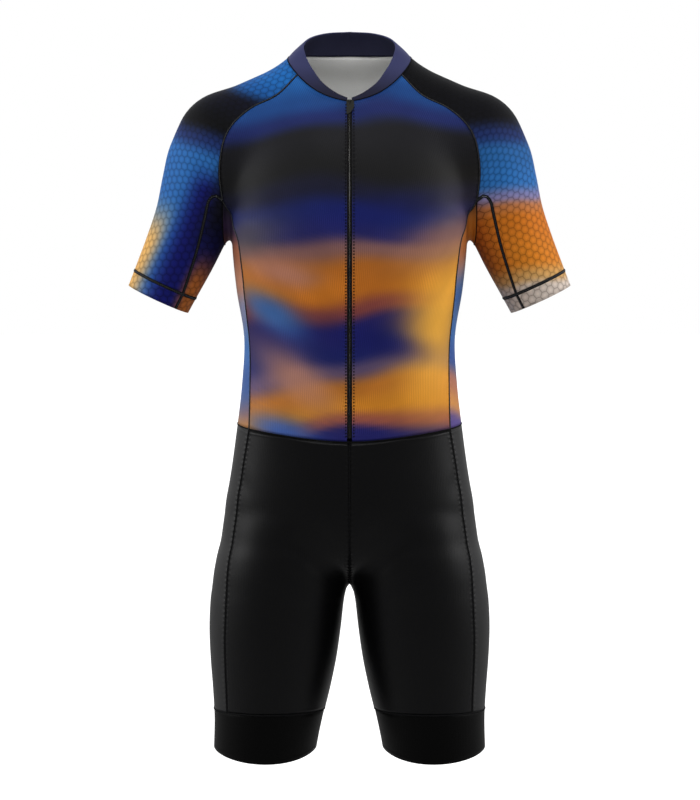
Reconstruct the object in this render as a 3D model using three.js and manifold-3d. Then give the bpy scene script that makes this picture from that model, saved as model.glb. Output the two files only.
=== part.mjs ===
// A short-sleeved triathlon suit, filled out as it is when worn, in millimetres.
// +Z is up, the front faces -Y and the wearer's left is +X.
// The origin is the middle of the neck at the height of the shoulders, where the wearer holds the suit.
// Every cloth piece is a thin wall on one smooth form: a trunk, two upper arms and two thighs that blend into each other.
// Seams are curves on that form, and a panel is a grid that is stretched between four of them.
import Module from "manifold-3d";
import * as THREE from "three";

// Cloth and seams
const CLOTH = 1.5; // wall of the stretch knit
const COLLAR_CLOTH = 2.4; // the collar is two layers
const BAND_CLOTH = 2; // leg bands and sleeve hems are heavier
const SEAM_GAP = 0.36; // clear space between two panels that are sewn together
const BLUR = 0.5; // step for the form's slope
const STRIDE = 6; // step of a search along a line, which is then halved down to the form
const HALVINGS = 30;
const SIGHT = 250; // the form is nowhere deeper than this

// The trunk by height: half width, depth in front of and behind the middle plane, exponent of the oval
const TRUNK = [
  { z: 60, wide: 58, front: 46, back: 50, round: 2.1 },
  { z: 12, wide: 74, front: 54, back: 62, round: 2.1 },
  { z: -20, wide: 96, front: 58, back: 84, round: 2.15 },
  { z: -48, wide: 116, front: 64, back: 97, round: 2.2 },
  { z: -78, wide: 134, front: 88, back: 106, round: 2.25 },
  { z: -115, wide: 148, front: 106, back: 111, round: 2.35 },
  { z: -170, wide: 158, front: 116, back: 111, round: 2.7 },
  { z: -230, wide: 159, front: 114, back: 104, round: 2.9 },
  { z: -300, wide: 153, front: 107, back: 95, round: 2.6 },
  { z: -365, wide: 143, front: 101, back: 87, round: 2.4 },
  { z: -430, wide: 146, front: 100, back: 86, round: 2.35 },
  { z: -490, wide: 153, front: 101, back: 93, round: 2.3 },
  { z: -560, wide: 163, front: 104, back: 113, round: 2.25 },
  { z: -620, wide: 175, front: 105, back: 124, round: 2.2 },
  { z: -680, wide: 184, front: 104, back: 124, round: 2.2 },
  { z: -760, wide: 186, front: 100, back: 118, round: 2.2 },
];
const CROTCH_Z = -694; // lowest point between the legs
const CROTCH_ROUND = 120; // how softly the trunk closes under the hips

// The shoulder slope, from the side of the neck to the point of the shoulder
const YOKE = [
  { x: 60, y: 9, z: -61, radius: 69 },
  { x: 158, y: 7, z: -104, radius: 69 },
];
const YOKE_BLEND = 30;

// The upper arm hangs outwards. By distance down its axis: radius, depth as a share of it, shift of the axis outwards
const ARM_TOP = { x: 163, y: 6, z: -108 };
const ARM_ANGLE = THREE.MathUtils.degToRad(25);
const ARM = [
  { down: -20, radius: 69, deep: 0.88, out: 2 },
  { down: 35, radius: 68.5, deep: 0.9, out: 3.5 },
  { down: 75, radius: 59.5, deep: 0.98, out: 4.5 },
  { down: 115, radius: 52.8, deep: 1.02, out: 1.7 },
  { down: 159, radius: 49.4, deep: 1.04, out: 0 },
  { down: 205, radius: 46, deep: 1.06, out: 0 },
  { down: 228, radius: 44.5, deep: 1.06, out: 0 },
  { down: 270, radius: 43, deep: 1.06, out: 0 },
];
const ARM_BLEND = 14;
const CUFF_DOWN = 228; // cuff edge, down the arm's axis
const HEM_DEPTH = 22; // sleeve hem band

// The thigh by height: inner and outer edge, depth in front and behind
const LEG = [
  { z: -540, inner: 30, outer: 90, front: 30, back: 40 },
  { z: -600, inner: 6, outer: 156, front: 84, back: 94 },
  { z: -650, inner: -1, outer: 177, front: 95, back: 107 },
  { z: -680, inner: 0, outer: 184, front: 97, back: 106 },
  { z: -706, inner: 4, outer: 187.5, front: 96, back: 101 },
  { z: -726, inner: 8, outer: 190, front: 95, back: 98 },
  { z: -764, inner: 12.5, outer: 191.5, front: 93, back: 94 },
  { z: -805, inner: 18.5, outer: 190, front: 89, back: 89 },
  { z: -846, inner: 27, outer: 187, front: 84, back: 83 },
  { z: -887, inner: 37, outer: 185, front: 79, back: 77 },
  { z: -930, inner: 45.5, outer: 186, front: 75, back: 73 },
  { z: -980, inner: 52, outer: 187, front: 73, back: 71 },
];
const LEG_BLEND = 13;

// The neck seam and the collar's top edge, by turn round the neck from the front, in degrees
const NECK = { wide: 79, front: 64, back: 62 };
const NECK_SEAM = [
  { turn: 0, z: -50 },
  { turn: 23, z: -43 },
  { turn: 39, z: -34 },
  { turn: 55, z: -21 },
  { turn: 72, z: -5 },
  { turn: 90, z: 7 },
  { turn: 130, z: 13 },
  { turn: 180, z: 15 },
];
const RIM = { wide: 63, front: 60, back: 54 };
const COLLAR_RIM = [
  { turn: 0, z: -45.5 },
  { turn: 16, z: -38 },
  { turn: 35, z: -24 },
  { turn: 52, z: -6 },
  { turn: 76, z: 17 },
  { turn: 90, z: 26 },
  { turn: 120, z: 38 },
  { turn: 150, z: 45 },
  { turn: 180, z: 47 },
];
const RAGLAN_FRONT_TURN = 55;
const RAGLAN_BACK_TURN = 126;

// Seams as they are seen from the front or the back: x out from the middle, z up
const RAGLAN_FRONT = [
  { x: 96, z: -40 },
  { x: 130, z: -57 },
  { x: 153, z: -76 },
  { x: 165, z: -95 },
  { x: 171, z: -118 },
  { x: 173.5, z: -146 },
];
const RAGLAN_BACK = [
  { x: 88, z: -22 },
  { x: 118, z: -50 },
  { x: 145, z: -82 },
  { x: 162, z: -112 },
  { x: 171, z: -146 },
];
const UNDERARM = { x: 170, z: -181 }; // where raglan, side and sleeve seams meet
// The seam under the arm lies on the arm's side of the notch between arm and trunk, which is searched for
const ARMPIT = { from: 156, to: 184, below: -330, places: [-34, -16, 5, 26, 44], outwards: 9, downwards: 5 };
const SIDE_SEAM = [
  { x: 157, z: -207 },
  { x: 149, z: -232 },
  { x: 144, z: -268 },
  { x: 140, z: -313 },
  { x: 136, z: -352 },
  { x: 133.5, z: -418 },
];
const SLEEVE_SEAM = [
  { x: 180, z: -174.5 },
  { x: 187.5, z: -180.5 },
  { x: 193, z: -202 },
  { x: 201.5, z: -237 },
  { x: 213.5, z: -276 },
];
const SLEEVE_SEAM_TURN = THREE.MathUtils.degToRad(126.7); // at the hem, from the outside of the arm
const LEG_SIDE_SEAM = [
  { x: 148, z: -565 },
  { x: 160, z: -650 },
  { x: 167, z: -731 },
  { x: 168.5, z: -775 },
  { x: 167.3, z: -829 },
];
const INSEAM = [
  { x: 5, y: 8, z: -719 },
  { x: 10, y: 6, z: -745 },
  { x: 15, y: 4, z: -784 },
  { x: 23, y: 2, z: -826 },
];

// Rings: heights at the side, the front and the back
const WAIST = { side: -483, front: -500, back: -480 };
const WAIST_SEAM_X = 135; // side seam at the waist, out from the middle
const BAND_SEAM = { side: -874, front: -871, back: -874 };
const LEG_HEM = { side: -927, front: -939, back: -922 };
const BAND_CENTRE = { x: 110, y: 0 };
const BAND_SEAM_TURN = THREE.MathUtils.degToRad(44); // leg side seams at the band, from the outside of the leg

// Grid cells
const RAGLAN_ROWS = 9;
const SIDE_ROWS = 13;
const SLEEVE_ROWS = 7;
const LEG_ROWS = 15;
const FRONT_COLUMNS = 8;
const SIDE_COLUMNS = 9;
const BACK_COLUMNS = 14;
const SLEEVE_COLUMNS = 12;
const UNDER_COLUMNS = 9;
const HEM_ROWS = 2;
const BAND_ROWS = 3;
const COLLAR_ROWS = 2;
const ZIP_ROWS = 22;
const RELAX_PASSES = 90;
const GATHER = 1.4; // cells are closer together under the arm

// The zip
const ZIP_EDGE = 3.4; // the front panels stop here, out from the middle
const CHAIN_HALF = 3.05;
const CHAIN_PROUD = 0.4;
const TAPE_HALF = 12;
const TAPE_CLOTH = 1;
const TAPE_GAP = 0.9; // behind the front panels, whose facets bend otherwise
const ZIP_STOP = 3; // the zip ends this far above the waist seam

// The slider's plate lies on the chain, and a narrow bridge on it holds the pull. Distances down it and out of the cloth.
const SLIDER_TOP_Z = -48.5;
const PLATE = { top: 4, foot: 3.1, long: 11, lift: 1.1, thick: 1.5, corner: 1 };
const BRIDGE = { half: 1.1, from: 1.2, to: 8.4, tall: 5.3, eye: 1.35 };
const PIN = { down: 3, out: 3.75 };
const PULL_THICK = 1.6;
const PULL_WINDOW = { half: 1.75, from: 0.8, to: 6.2 };
const PULL_EDGE = [
  { x: -3.4, down: -0.8 },
  { x: 4.4, down: -0.8 },
  { x: 5.9, down: 1.5 },
  { x: 6.2, down: 7 },
  { x: 4.9, down: 13 },
  { x: 1.8, down: 19 },
  { x: -2.4, down: 22.6 },
  { x: -3.9, down: 21.4 },
  { x: -4.1, down: 0.4 },
];

const KNIT = { roughness: 0.62, metalness: 0 };
const printed = new THREE.MeshStandardMaterial({ color: 0x1b2a5c, ...KNIT });
const honeycomb = new THREE.MeshStandardMaterial({ color: 0x2b5fa6, ...KNIT });
const lycra = new THREE.MeshStandardMaterial({ color: 0x141416, ...KNIT });
const navy = new THREE.MeshStandardMaterial({ color: 0x2c2b4a, ...KNIT });
const tape = new THREE.MeshStandardMaterial({ color: 0x101010, roughness: 0.8, metalness: 0 });
const coil = new THREE.MeshStandardMaterial({ color: 0x0c0c0c, roughness: 0.4, metalness: 0 });
const metal = new THREE.MeshStandardMaterial({ color: 0x2a2c2a, roughness: 0.35, metalness: 0.8 });
const moulded = new THREE.MeshStandardMaterial({ color: 0x22241f, roughness: 0.5, metalness: 0 });

// A smooth curve through the rows of a table: value of a column at a place along the key column.
function readTable(rows, key, column, at) {
  const turned = rows[0][key] < rows[rows.length - 1][key] ? 1 : -1;
  let i = 0;
  while (i < rows.length - 2 && turned * at > turned * rows[i + 1][key]) i++;
  const slope = (a, b) => (rows[b][column] - rows[a][column]) / (rows[b][key] - rows[a][key]);
  const span = rows[i + 1][key] - rows[i][key];
  const t = THREE.MathUtils.clamp((at - rows[i][key]) / span, 0, 1);
  const before = slope(Math.max(i - 1, 0), i + 1) * span;
  const after = slope(i, Math.min(i + 2, rows.length - 1)) * span;
  const start = rows[i][column];
  const rise = rows[i + 1][column] - start;
  return start + t * (before + t * (3 * rise - 2 * before - after + t * (before + after - 2 * rise)));
}

// Two shapes as one, with the corner between them filled softly over the reach.
function blendUnion(a, b, reach) {
  const h = Math.max(reach - Math.abs(a - b), 0) / reach;
  return Math.min(a, b) - (h * h * reach) / 4;
}

// Distance out of an oval section, along the ray from its middle.
function outOfOval(x, y, halfX, halfY, round) {
  const reach = Math.hypot(x, y);
  const ratio = (Math.abs(x / halfX) ** round + Math.abs(y / halfY) ** round) ** (1 / round);
  return ratio < 1e-6 ? -Math.min(halfX, halfY) : reach - reach / ratio;
}

function trunkField(x, y, z) {
  const wide = readTable(TRUNK, "z", "wide", z);
  const deep = readTable(TRUNK, "z", y < 0 ? "front" : "back", z);
  const wall = outOfOval(x, y, wide, deep, readTable(TRUNK, "z", "round", z));
  return -blendUnion(-wall, z - CROTCH_Z, CROTCH_ROUND);
}

function yokeField(x, y, z) {
  const [a, b] = YOKE;
  const along = [b.x - a.x, b.y - a.y, b.z - a.z];
  const from = [x - a.x, y - a.y, z - a.z];
  const dot = from[0] * along[0] + from[1] * along[1] + from[2] * along[2];
  const t = THREE.MathUtils.clamp(dot / (along[0] ** 2 + along[1] ** 2 + along[2] ** 2), 0, 1);
  const off = Math.hypot(from[0] - t * along[0], from[1] - t * along[1], from[2] - t * along[2]);
  return off - THREE.MathUtils.lerp(a.radius, b.radius, t);
}

function armField(x, y, z) {
  const [sin, cos] = [Math.sin(ARM_ANGLE), Math.cos(ARM_ANGLE)];
  const [dx, dy, dz] = [x - ARM_TOP.x, y - ARM_TOP.y, z - ARM_TOP.z];
  const down = THREE.MathUtils.clamp(dx * sin - dz * cos, 0, ARM[ARM.length - 1].down);
  const [deep, out] = [readTable(ARM, "down", "deep", down), readTable(ARM, "down", "out", down)];
  const off = Math.hypot(dx - down * sin - out * cos, dy / deep, dz + down * cos - out * sin);
  return off - readTable(ARM, "down", "radius", down);
}

function legField(x, y, z) {
  const inner = readTable(LEG, "z", "inner", z);
  const outer = readTable(LEG, "z", "outer", z);
  const deep = readTable(LEG, "z", y < 0 ? "front" : "back", z);
  return outOfOval(x - (inner + outer) / 2, y, (outer - inner) / 2, deep, 2);
}

// The whole form: negative inside, zero on the cloth's outer face.
function formField(x, y, z) {
  const side = Math.abs(x);
  if (z < LEG[0].z) {
    const legs = blendUnion(legField(x, y, z), legField(-x, y, z), LEG_BLEND);
    return blendUnion(trunkField(x, y, z), legs, LEG_BLEND);
  }
  const shoulders = blendUnion(trunkField(x, y, z), yokeField(side, y, z), YOKE_BLEND);
  return blendUnion(shoulders, armField(side, y, z), ARM_BLEND);
}

// The form's outward normal and steepness at a point.
function slopeAt(p) {
  return new THREE.Vector3(
    formField(p.x + BLUR, p.y, p.z) - formField(p.x - BLUR, p.y, p.z),
    formField(p.x, p.y + BLUR, p.z) - formField(p.x, p.y - BLUR, p.z),
    formField(p.x, p.y, p.z + BLUR) - formField(p.x, p.y, p.z - BLUR),
  ).divideScalar(2 * BLUR);
}

function normalAt(p) {
  return slopeAt(p).normalize();
}

// Moves a point along the slope until it lies on the form.
function settle(p, steps = 6) {
  const q = p.clone();
  for (let i = 0; i < steps; i++) {
    const slope = slopeAt(q);
    q.addScaledVector(slope, -formField(q.x, q.y, q.z) / Math.max(slope.lengthSq(), 0.05));
  }
  return q;
}

// The point where a ray from inside the form leaves it.
function leaveForm(from, direction) {
  let [near, far] = [0, STRIDE];
  const field = (d) => formField(from.x + d * direction.x, from.y + d * direction.y, from.z + d * direction.z);
  while (field(far) < 0) {
    near = far;
    far += STRIDE;
  }
  for (let i = 0; i < HALVINGS; i++) {
    const middle = (near + far) / 2;
    if (field(middle) < 0) near = middle;
    else far = middle;
  }
  return from.clone().addScaledVector(direction, near);
}

// The point of the form that is seen at x, z from the front (side -1) or the back (side 1).
function seenAt(side, x, z) {
  let [near, far] = [SIGHT, SIGHT];
  while (far > 0 && formField(x, side * far, z) > 0) {
    near = far;
    far -= STRIDE;
  }
  for (let i = 0; i < HALVINGS; i++) {
    const middle = (near + far) / 2;
    if (formField(x, side * middle, z) > 0) near = middle;
    else far = middle;
  }
  return new THREE.Vector3(x, side * far, z);
}

// Points along a smooth curve through the given ones, each settled on the form between the ends.
// With gather above 1 they stand closer together near the start.
function seam(points, cells, gather = 1) {
  const curve = new THREE.CatmullRomCurve3(points, false, "centripetal");
  return arc(0, 1, cells, (t) => t ** gather).map((t, i) => {
    const p = curve.getPointAt(t);
    return i === 0 || i === cells ? p : settle(p);
  });
}

const arc = (from, to, steps, place) =>
  Array.from({ length: steps + 1 }, (_, i) => place(THREE.MathUtils.lerp(from, to, i / steps)));
const join = (...curves) => curves.flatMap((curve, i) => (i === 0 ? curve : curve.slice(1)));
const reversed = (curve) => [...curve].reverse();
const mirrored = (curve) => curve.map((p) => new THREE.Vector3(-p.x, p.y, p.z));

// A grid of points between four edges, eased until it is even, and kept on the form.
function panelGrid(top, bottom, left, right) {
  const [rows, columns] = [left.length - 1, top.length - 1];
  const grid = left.map((start, j) =>
    top.map((_, i) => {
      if (i === 0) return start.clone();
      if (i === columns) return right[j].clone();
      if (j === 0) return top[i].clone();
      if (j === rows) return bottom[i].clone();
      const [u, v] = [i / columns, j / rows];
      const p = new THREE.Vector3();
      p.addScaledVector(left[j], 1 - u).addScaledVector(right[j], u);
      p.addScaledVector(top[i], 1 - v).addScaledVector(bottom[i], v);
      p.addScaledVector(top[0], -(1 - u) * (1 - v)).addScaledVector(top[columns], -u * (1 - v));
      p.addScaledVector(bottom[0], -(1 - u) * v).addScaledVector(bottom[columns], -u * v);
      return settle(p, 12);
    }),
  );
  for (let pass = 0; pass < RELAX_PASSES; pass++) {
    for (let j = 1; j < rows; j++) {
      for (let i = 1; i < columns; i++) {
        const middle = new THREE.Vector3();
        [grid[j - 1][i], grid[j + 1][i], grid[j][i - 1], grid[j][i + 1]].forEach((q) => middle.add(q));
        grid[j][i] = settle(middle.divideScalar(4), 2);
      }
    }
  }
  return grid;
}

// Draws the four edges of a grid in by half a seam gap.
function drawIn(grid, ring = false) {
  const [rows, columns] = [grid.length - 1, grid[0].length - 1];
  const step = (from, to, along) => {
    const inward = to.clone().sub(from);
    inward.addScaledVector(along, -inward.dot(along) / along.lengthSq());
    return inward.setLength(SEAM_GAP / 2);
  };
  return grid.map((line, j) =>
    line.map((p, i) => {
      const moved = p.clone();
      const [before, after] = [Math.max(i - 1, 0), Math.min(i + 1, columns)];
      const [above, below] = [Math.max(j - 1, 0), Math.min(j + 1, rows)];
      const across = grid[j][after].clone().sub(grid[j][before]);
      const down = grid[below][i].clone().sub(grid[above][i]);
      if (j === 0) moved.add(step(p, grid[1][i], across));
      if (j === rows) moved.add(step(p, grid[rows - 1][i], across));
      if (!ring && i === 0) moved.add(step(p, grid[j][1], down));
      if (!ring && i === columns) moved.add(step(p, grid[j][columns - 1], down));
      return moved;
    }),
  );
}

// A closed wall between an outer and an inner grid. A ring's first and last columns are the same.
function wallGeometry(outer, inner, ring = false) {
  const [rows, columns] = [outer.length - 1, outer[0].length - 1];
  const across = ring ? columns : columns + 1;
  const count = across * (rows + 1);
  const positions = [];
  for (const grid of [outer, inner]) {
    for (const line of grid) line.slice(0, across).forEach((p) => positions.push(p.x, p.y, p.z));
  }
  const at = (j, i) => j * across + (i % across);
  const faces = [];
  const apart = (a, b) => [0, 1, 2].reduce((sum, k) => sum + (positions[3 * a + k] - positions[3 * b + k]) ** 2, 0);
  // Two triangles that share the shorter diagonal, and with a partner the same two on the inner face
  const quad = (a, b, c, d, partner = 0) => {
    if (apart(a, c) > apart(b, d) + 1e-6) [a, b, c, d] = [b, c, d, a];
    faces.push(a, b, c, a, c, d);
    if (partner) faces.push(...[c, b, a, d, c, a].map((k) => k + partner));
  };
  for (let j = 0; j < rows; j++) {
    for (let i = 0; i < columns; i++) quad(at(j, i), at(j + 1, i), at(j + 1, i + 1), at(j, i + 1), count);
  }
  for (let i = 0; i < columns; i++) {
    quad(at(0, i), at(0, i + 1), at(0, i + 1) + count, at(0, i) + count);
    quad(at(rows, i + 1), at(rows, i), at(rows, i) + count, at(rows, i + 1) + count);
  }
  for (let j = 0; j < rows && !ring; j++) {
    quad(at(j + 1, 0), at(j, 0), at(j, 0) + count, at(j + 1, 0) + count);
    quad(at(j, columns), at(j + 1, columns), at(j + 1, columns) + count, at(j, columns) + count);
  }
  const geometry = new THREE.BufferGeometry();
  geometry.setAttribute("position", new THREE.Float32BufferAttribute(positions, 3));
  geometry.setIndex(faces);
  geometry.computeVertexNormals();
  return geometry;
}

// Grid points moved along the form's normals by a distance.
function offsetGrid(grid, distance) {
  return grid.map((line) => line.map((p) => p.clone().addScaledVector(normalAt(p), distance)));
}

const suit = new THREE.Group();

function addMesh(name, geometry, material) {
  const mesh = new THREE.Mesh(geometry, material);
  mesh.name = name;
  suit.add(mesh);
}

// A sewn panel. Its columns run so that the outside faces out: from the viewer's left to right.
function addPanel(name, grid, material, cloth = CLOTH) {
  const outer = drawIn(grid);
  addMesh(name, wallGeometry(outer, offsetGrid(outer, -cloth)), material);
}

function addTube(name, grid, material, cloth) {
  const outer = drawIn(grid, true);
  addMesh(name, wallGeometry(outer, offsetGrid(outer, -cloth), true), material);
}

// Height of a level ring by turn from the front: side, front and back heights joined by a cosine.
function ringHeight(ring, turn) {
  const toFront = Math.cos(turn);
  return ring.side + (toFront > 0 ? ring.front - ring.side : ring.back - ring.side) * Math.abs(toFront) ** 1.6;
}

function waistPoint(turn) {
  const from = new THREE.Vector3(0, 0, ringHeight(WAIST, turn));
  return leaveForm(from, new THREE.Vector3(Math.sin(turn), -Math.cos(turn), 0));
}

// A point round the leg, by turn from the leg's front towards the outside.
function legPoint(ring, turn) {
  const from = new THREE.Vector3(BAND_CENTRE.x, BAND_CENTRE.y, ringHeight(ring, turn));
  return leaveForm(from, new THREE.Vector3(Math.sin(turn), -Math.cos(turn), 0));
}

// A point round the arm, by turn from its outside towards the front, at a distance down its axis.
function armPoint(down, turn) {
  const [sin, cos] = [Math.sin(ARM_ANGLE), Math.cos(ARM_ANGLE)];
  const from = new THREE.Vector3(ARM_TOP.x + down * sin, ARM_TOP.y, ARM_TOP.z - down * cos);
  const direction = new THREE.Vector3(Math.cos(turn) * cos, -Math.sin(turn), Math.cos(turn) * sin);
  return leaveForm(from, direction);
}

// A point of the neck seam, or of the collar's top edge.
function neckPoint(oval, heights, degrees) {
  const turn = THREE.MathUtils.degToRad(degrees);
  const deep = Math.cos(turn) > 0 ? oval.front : oval.back;
  const z = readTable(heights, "turn", "z", degrees);
  return new THREE.Vector3(oval.wide * Math.sin(turn), -deep * Math.cos(turn), z);
}

const neckSeam = (from, to, cells) =>
  seam(
    Array.from({ length: 9 }, (_, i) => settle(neckPoint(NECK, NECK_SEAM, THREE.MathUtils.lerp(from, to, i / 8)))),
    cells,
  );

const seen = (side, rows) => rows.map(({ x, z }) => seenAt(side, x, z));

// Where the side seam crosses the waist, as a turn from the front.
function waistTurnAt(side, x) {
  let [low, high] = side < 0 ? [0, Math.PI / 2] : [Math.PI, Math.PI / 2];
  for (let i = 0; i < HALVINGS; i++) {
    const middle = (low + high) / 2;
    if (waistPoint(middle).x < x) low = middle;
    else high = middle;
  }
  return low;
}

// The top of the notch between the arm and the trunk, at a distance behind the middle plane.
function notchAt(y) {
  let best = new THREE.Vector3(0, y, ARMPIT.below);
  for (let x = ARMPIT.from; x <= ARMPIT.to; x += 0.5) {
    let z = ARMPIT.below;
    while (formField(x, y, z) > 0) z += 0.5;
    if (z > best.z) best = new THREE.Vector3(x, y, z);
  }
  return settle(best.add(new THREE.Vector3(ARMPIT.outwards, 0, -ARMPIT.downwards)));
}

// Seams of the wearer's left half
const FRONT = -1;
const BACK = 1;
const zipTurn = THREE.MathUtils.radToDeg(Math.asin(ZIP_EDGE / NECK.wide));
const neckFront = neckSeam(zipTurn, RAGLAN_FRONT_TURN, FRONT_COLUMNS);
const neckShoulder = neckSeam(RAGLAN_FRONT_TURN, RAGLAN_BACK_TURN, SLEEVE_COLUMNS);
const neckHalfBack = neckSeam(RAGLAN_BACK_TURN, 180, BACK_COLUMNS / 2);
const neckBack = join(neckHalfBack, reversed(mirrored(neckHalfBack)));
const last = (curve) => curve[curve.length - 1];

const underarm = { [FRONT]: seenAt(FRONT, UNDERARM.x, UNDERARM.z), [BACK]: seenAt(BACK, UNDERARM.x, UNDERARM.z) };
const raglan = {
  [FRONT]: seam([last(neckFront), ...seen(FRONT, RAGLAN_FRONT), underarm[FRONT]], RAGLAN_ROWS),
  [BACK]: seam([last(neckShoulder), ...seen(BACK, RAGLAN_BACK), underarm[BACK]], RAGLAN_ROWS),
};
const armpit = seam([underarm[FRONT], ...ARMPIT.places.map(notchAt), underarm[BACK]], UNDER_COLUMNS);
const waistTurn = { [FRONT]: waistTurnAt(FRONT, WAIST_SEAM_X), [BACK]: waistTurnAt(BACK, WAIST_SEAM_X) };
const sideSeam = {};
const sleeveSeam = {};
const legSideSeam = {};
for (const side of [FRONT, BACK]) {
  const waist = waistPoint(waistTurn[side]);
  sideSeam[side] = seam([underarm[side], ...seen(side, SIDE_SEAM), waist], SIDE_ROWS, GATHER);
  const hem = armPoint(CUFF_DOWN - HEM_DEPTH, -side * SLEEVE_SEAM_TURN);
  sleeveSeam[side] = seam([underarm[side], ...seen(side, SLEEVE_SEAM), hem], SLEEVE_ROWS);
  const band = legPoint(BAND_SEAM, Math.PI / 2 + side * BAND_SEAM_TURN);
  legSideSeam[side] = seam([waist, ...seen(side, LEG_SIDE_SEAM), band], LEG_ROWS);
}
const waistFront = seam(arc(0, waistTurn[FRONT], 8, waistPoint), FRONT_COLUMNS);
const waistSide = seam(arc(waistTurn[FRONT], waistTurn[BACK], 6, waistPoint), SIDE_COLUMNS);
const waistBack = seam(arc(waistTurn[BACK], Math.PI, 8, waistPoint), BACK_COLUMNS / 2);
const waistZip = seenAt(FRONT, ZIP_EDGE, WAIST.front);

// The middle edge beside the zip, straight down the front
const zipHeights = arc(neckFront[0].z, WAIST.front, 14, (z) => z).slice(1, -1);
const zipEdge = seam(
  [neckFront[0], ...zipHeights.map((z) => seenAt(FRONT, ZIP_EDGE, z)), waistZip],
  RAGLAN_ROWS + SIDE_ROWS,
);

// The seat seam runs in the middle plane from the waist, under the hips to the waist behind
const HIP_CENTRE = new THREE.Vector3(0, 6, -570);
const INSEAM_ROWS = 6;
const hipPoint = (turn) => leaveForm(HIP_CENTRE, new THREE.Vector3(0, -Math.sin(turn), -Math.cos(turn)));
const riseTurn = (p) => Math.atan2(-(p.y - HIP_CENTRE.y), -(p.z - HIP_CENTRE.z));
const crotch = hipPoint(0);
const riseFront = arc(riseTurn(waistFront[0]), 0, 14, hipPoint);
const riseBack = arc(riseTurn(last(waistBack)), 0, 14, hipPoint);
const inseamEnd = legPoint(BAND_SEAM, -Math.PI / 2);
const inseam = [crotch, ...INSEAM.map(({ x, y, z }) => settle(new THREE.Vector3(x, y, z))), inseamEnd];
const riseRows = LEG_ROWS - INSEAM_ROWS;
const inseamCurve = seam(inseam, INSEAM_ROWS);
const innerEdge = {
  [FRONT]: join(seam(riseFront, riseRows), inseamCurve),
  [BACK]: join(seam(riseBack, riseRows), inseamCurve),
};

// The band ring is met by the front, side and back panels of the leg
const bandTurns = [
  [-Math.PI / 2, Math.PI / 2 - BAND_SEAM_TURN, FRONT_COLUMNS],
  [Math.PI / 2 - BAND_SEAM_TURN, Math.PI / 2 + BAND_SEAM_TURN, SIDE_COLUMNS],
  [Math.PI / 2 + BAND_SEAM_TURN, 1.5 * Math.PI, BACK_COLUMNS / 2],
];
const ringLine = (ring) => bandTurns.map(([from, to, cells]) => arc(from, to, cells, (turn) => legPoint(ring, turn)));
const [bandFront, bandSide, bandBack] = ringLine(BAND_SEAM);
const bandGrid = Array.from({ length: BAND_ROWS + 1 }, (_, j) => {
  const mix = (key) => THREE.MathUtils.lerp(BAND_SEAM[key], LEG_HEM[key], j / BAND_ROWS);
  return join(...ringLine({ side: mix("side"), front: mix("front"), back: mix("back") }));
});

// The sleeve hem ring, from the front seam over the outside of the arm to the back seam and on underneath
const hemLine = (down) => [
  arc(SLEEVE_SEAM_TURN, -SLEEVE_SEAM_TURN, SLEEVE_COLUMNS, (turn) => armPoint(down, turn)),
  arc(SLEEVE_SEAM_TURN, 2 * Math.PI - SLEEVE_SEAM_TURN, UNDER_COLUMNS, (turn) => armPoint(down, turn)),
];
const [hemOuter, hemUnder] = hemLine(CUFF_DOWN - HEM_DEPTH);
const hemGrid = Array.from({ length: HEM_ROWS + 1 }, (_, j) => {
  const [outer, under] = hemLine(CUFF_DOWN - HEM_DEPTH * (1 - j / HEM_ROWS));
  return join(outer, reversed(under));
});

// Panels of the wearer's left half, each with its mirror image on the right
const flipped = (grid) => grid.map((line) => reversed(mirrored(line)));
function addPair(name, grid, material, add = addPanel, cloth = CLOTH) {
  add(name + "_left", grid, material, cloth);
  add(name + "_right", flipped(grid), material, cloth);
}

const waistTorso = [waistZip, ...waistFront.slice(1)];
const frontOuter = join(raglan[FRONT], sideSeam[FRONT]);
const backOuter = join(raglan[BACK], sideSeam[BACK]);
addPair("front", panelGrid(neckFront, waistTorso, zipEdge, frontOuter), printed);
addPair("side", panelGrid(armpit, waistSide, sideSeam[FRONT], sideSeam[BACK]), printed);
const waistWholeBack = join(waistBack, reversed(mirrored(waistBack)));
addPanel("back", panelGrid(neckBack, waistWholeBack, backOuter, mirrored(backOuter)), printed);
const sleeveFront = join(raglan[FRONT], sleeveSeam[FRONT]);
const sleeveBack = join(raglan[BACK], sleeveSeam[BACK]);
addPair("sleeve", panelGrid(neckShoulder, hemOuter, sleeveFront, sleeveBack), honeycomb);
addPair(
  "under_sleeve",
  panelGrid(reversed(armpit), reversed(hemUnder), sleeveSeam[BACK], sleeveSeam[FRONT]),
  honeycomb,
);
addPair("sleeve_hem", hemGrid, honeycomb, addTube, BAND_CLOTH);
addPair("shorts_front", panelGrid(waistFront, bandFront, innerEdge[FRONT], legSideSeam[FRONT]), lycra);
addPair("shorts_side", panelGrid(waistSide, bandSide, legSideSeam[FRONT], legSideSeam[BACK]), lycra);
addPair("shorts_back", panelGrid(waistBack, bandBack, legSideSeam[BACK], innerEdge[BACK]), lycra);
addPair("leg_band", bandGrid, lycra, addTube, BAND_CLOTH);

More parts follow.
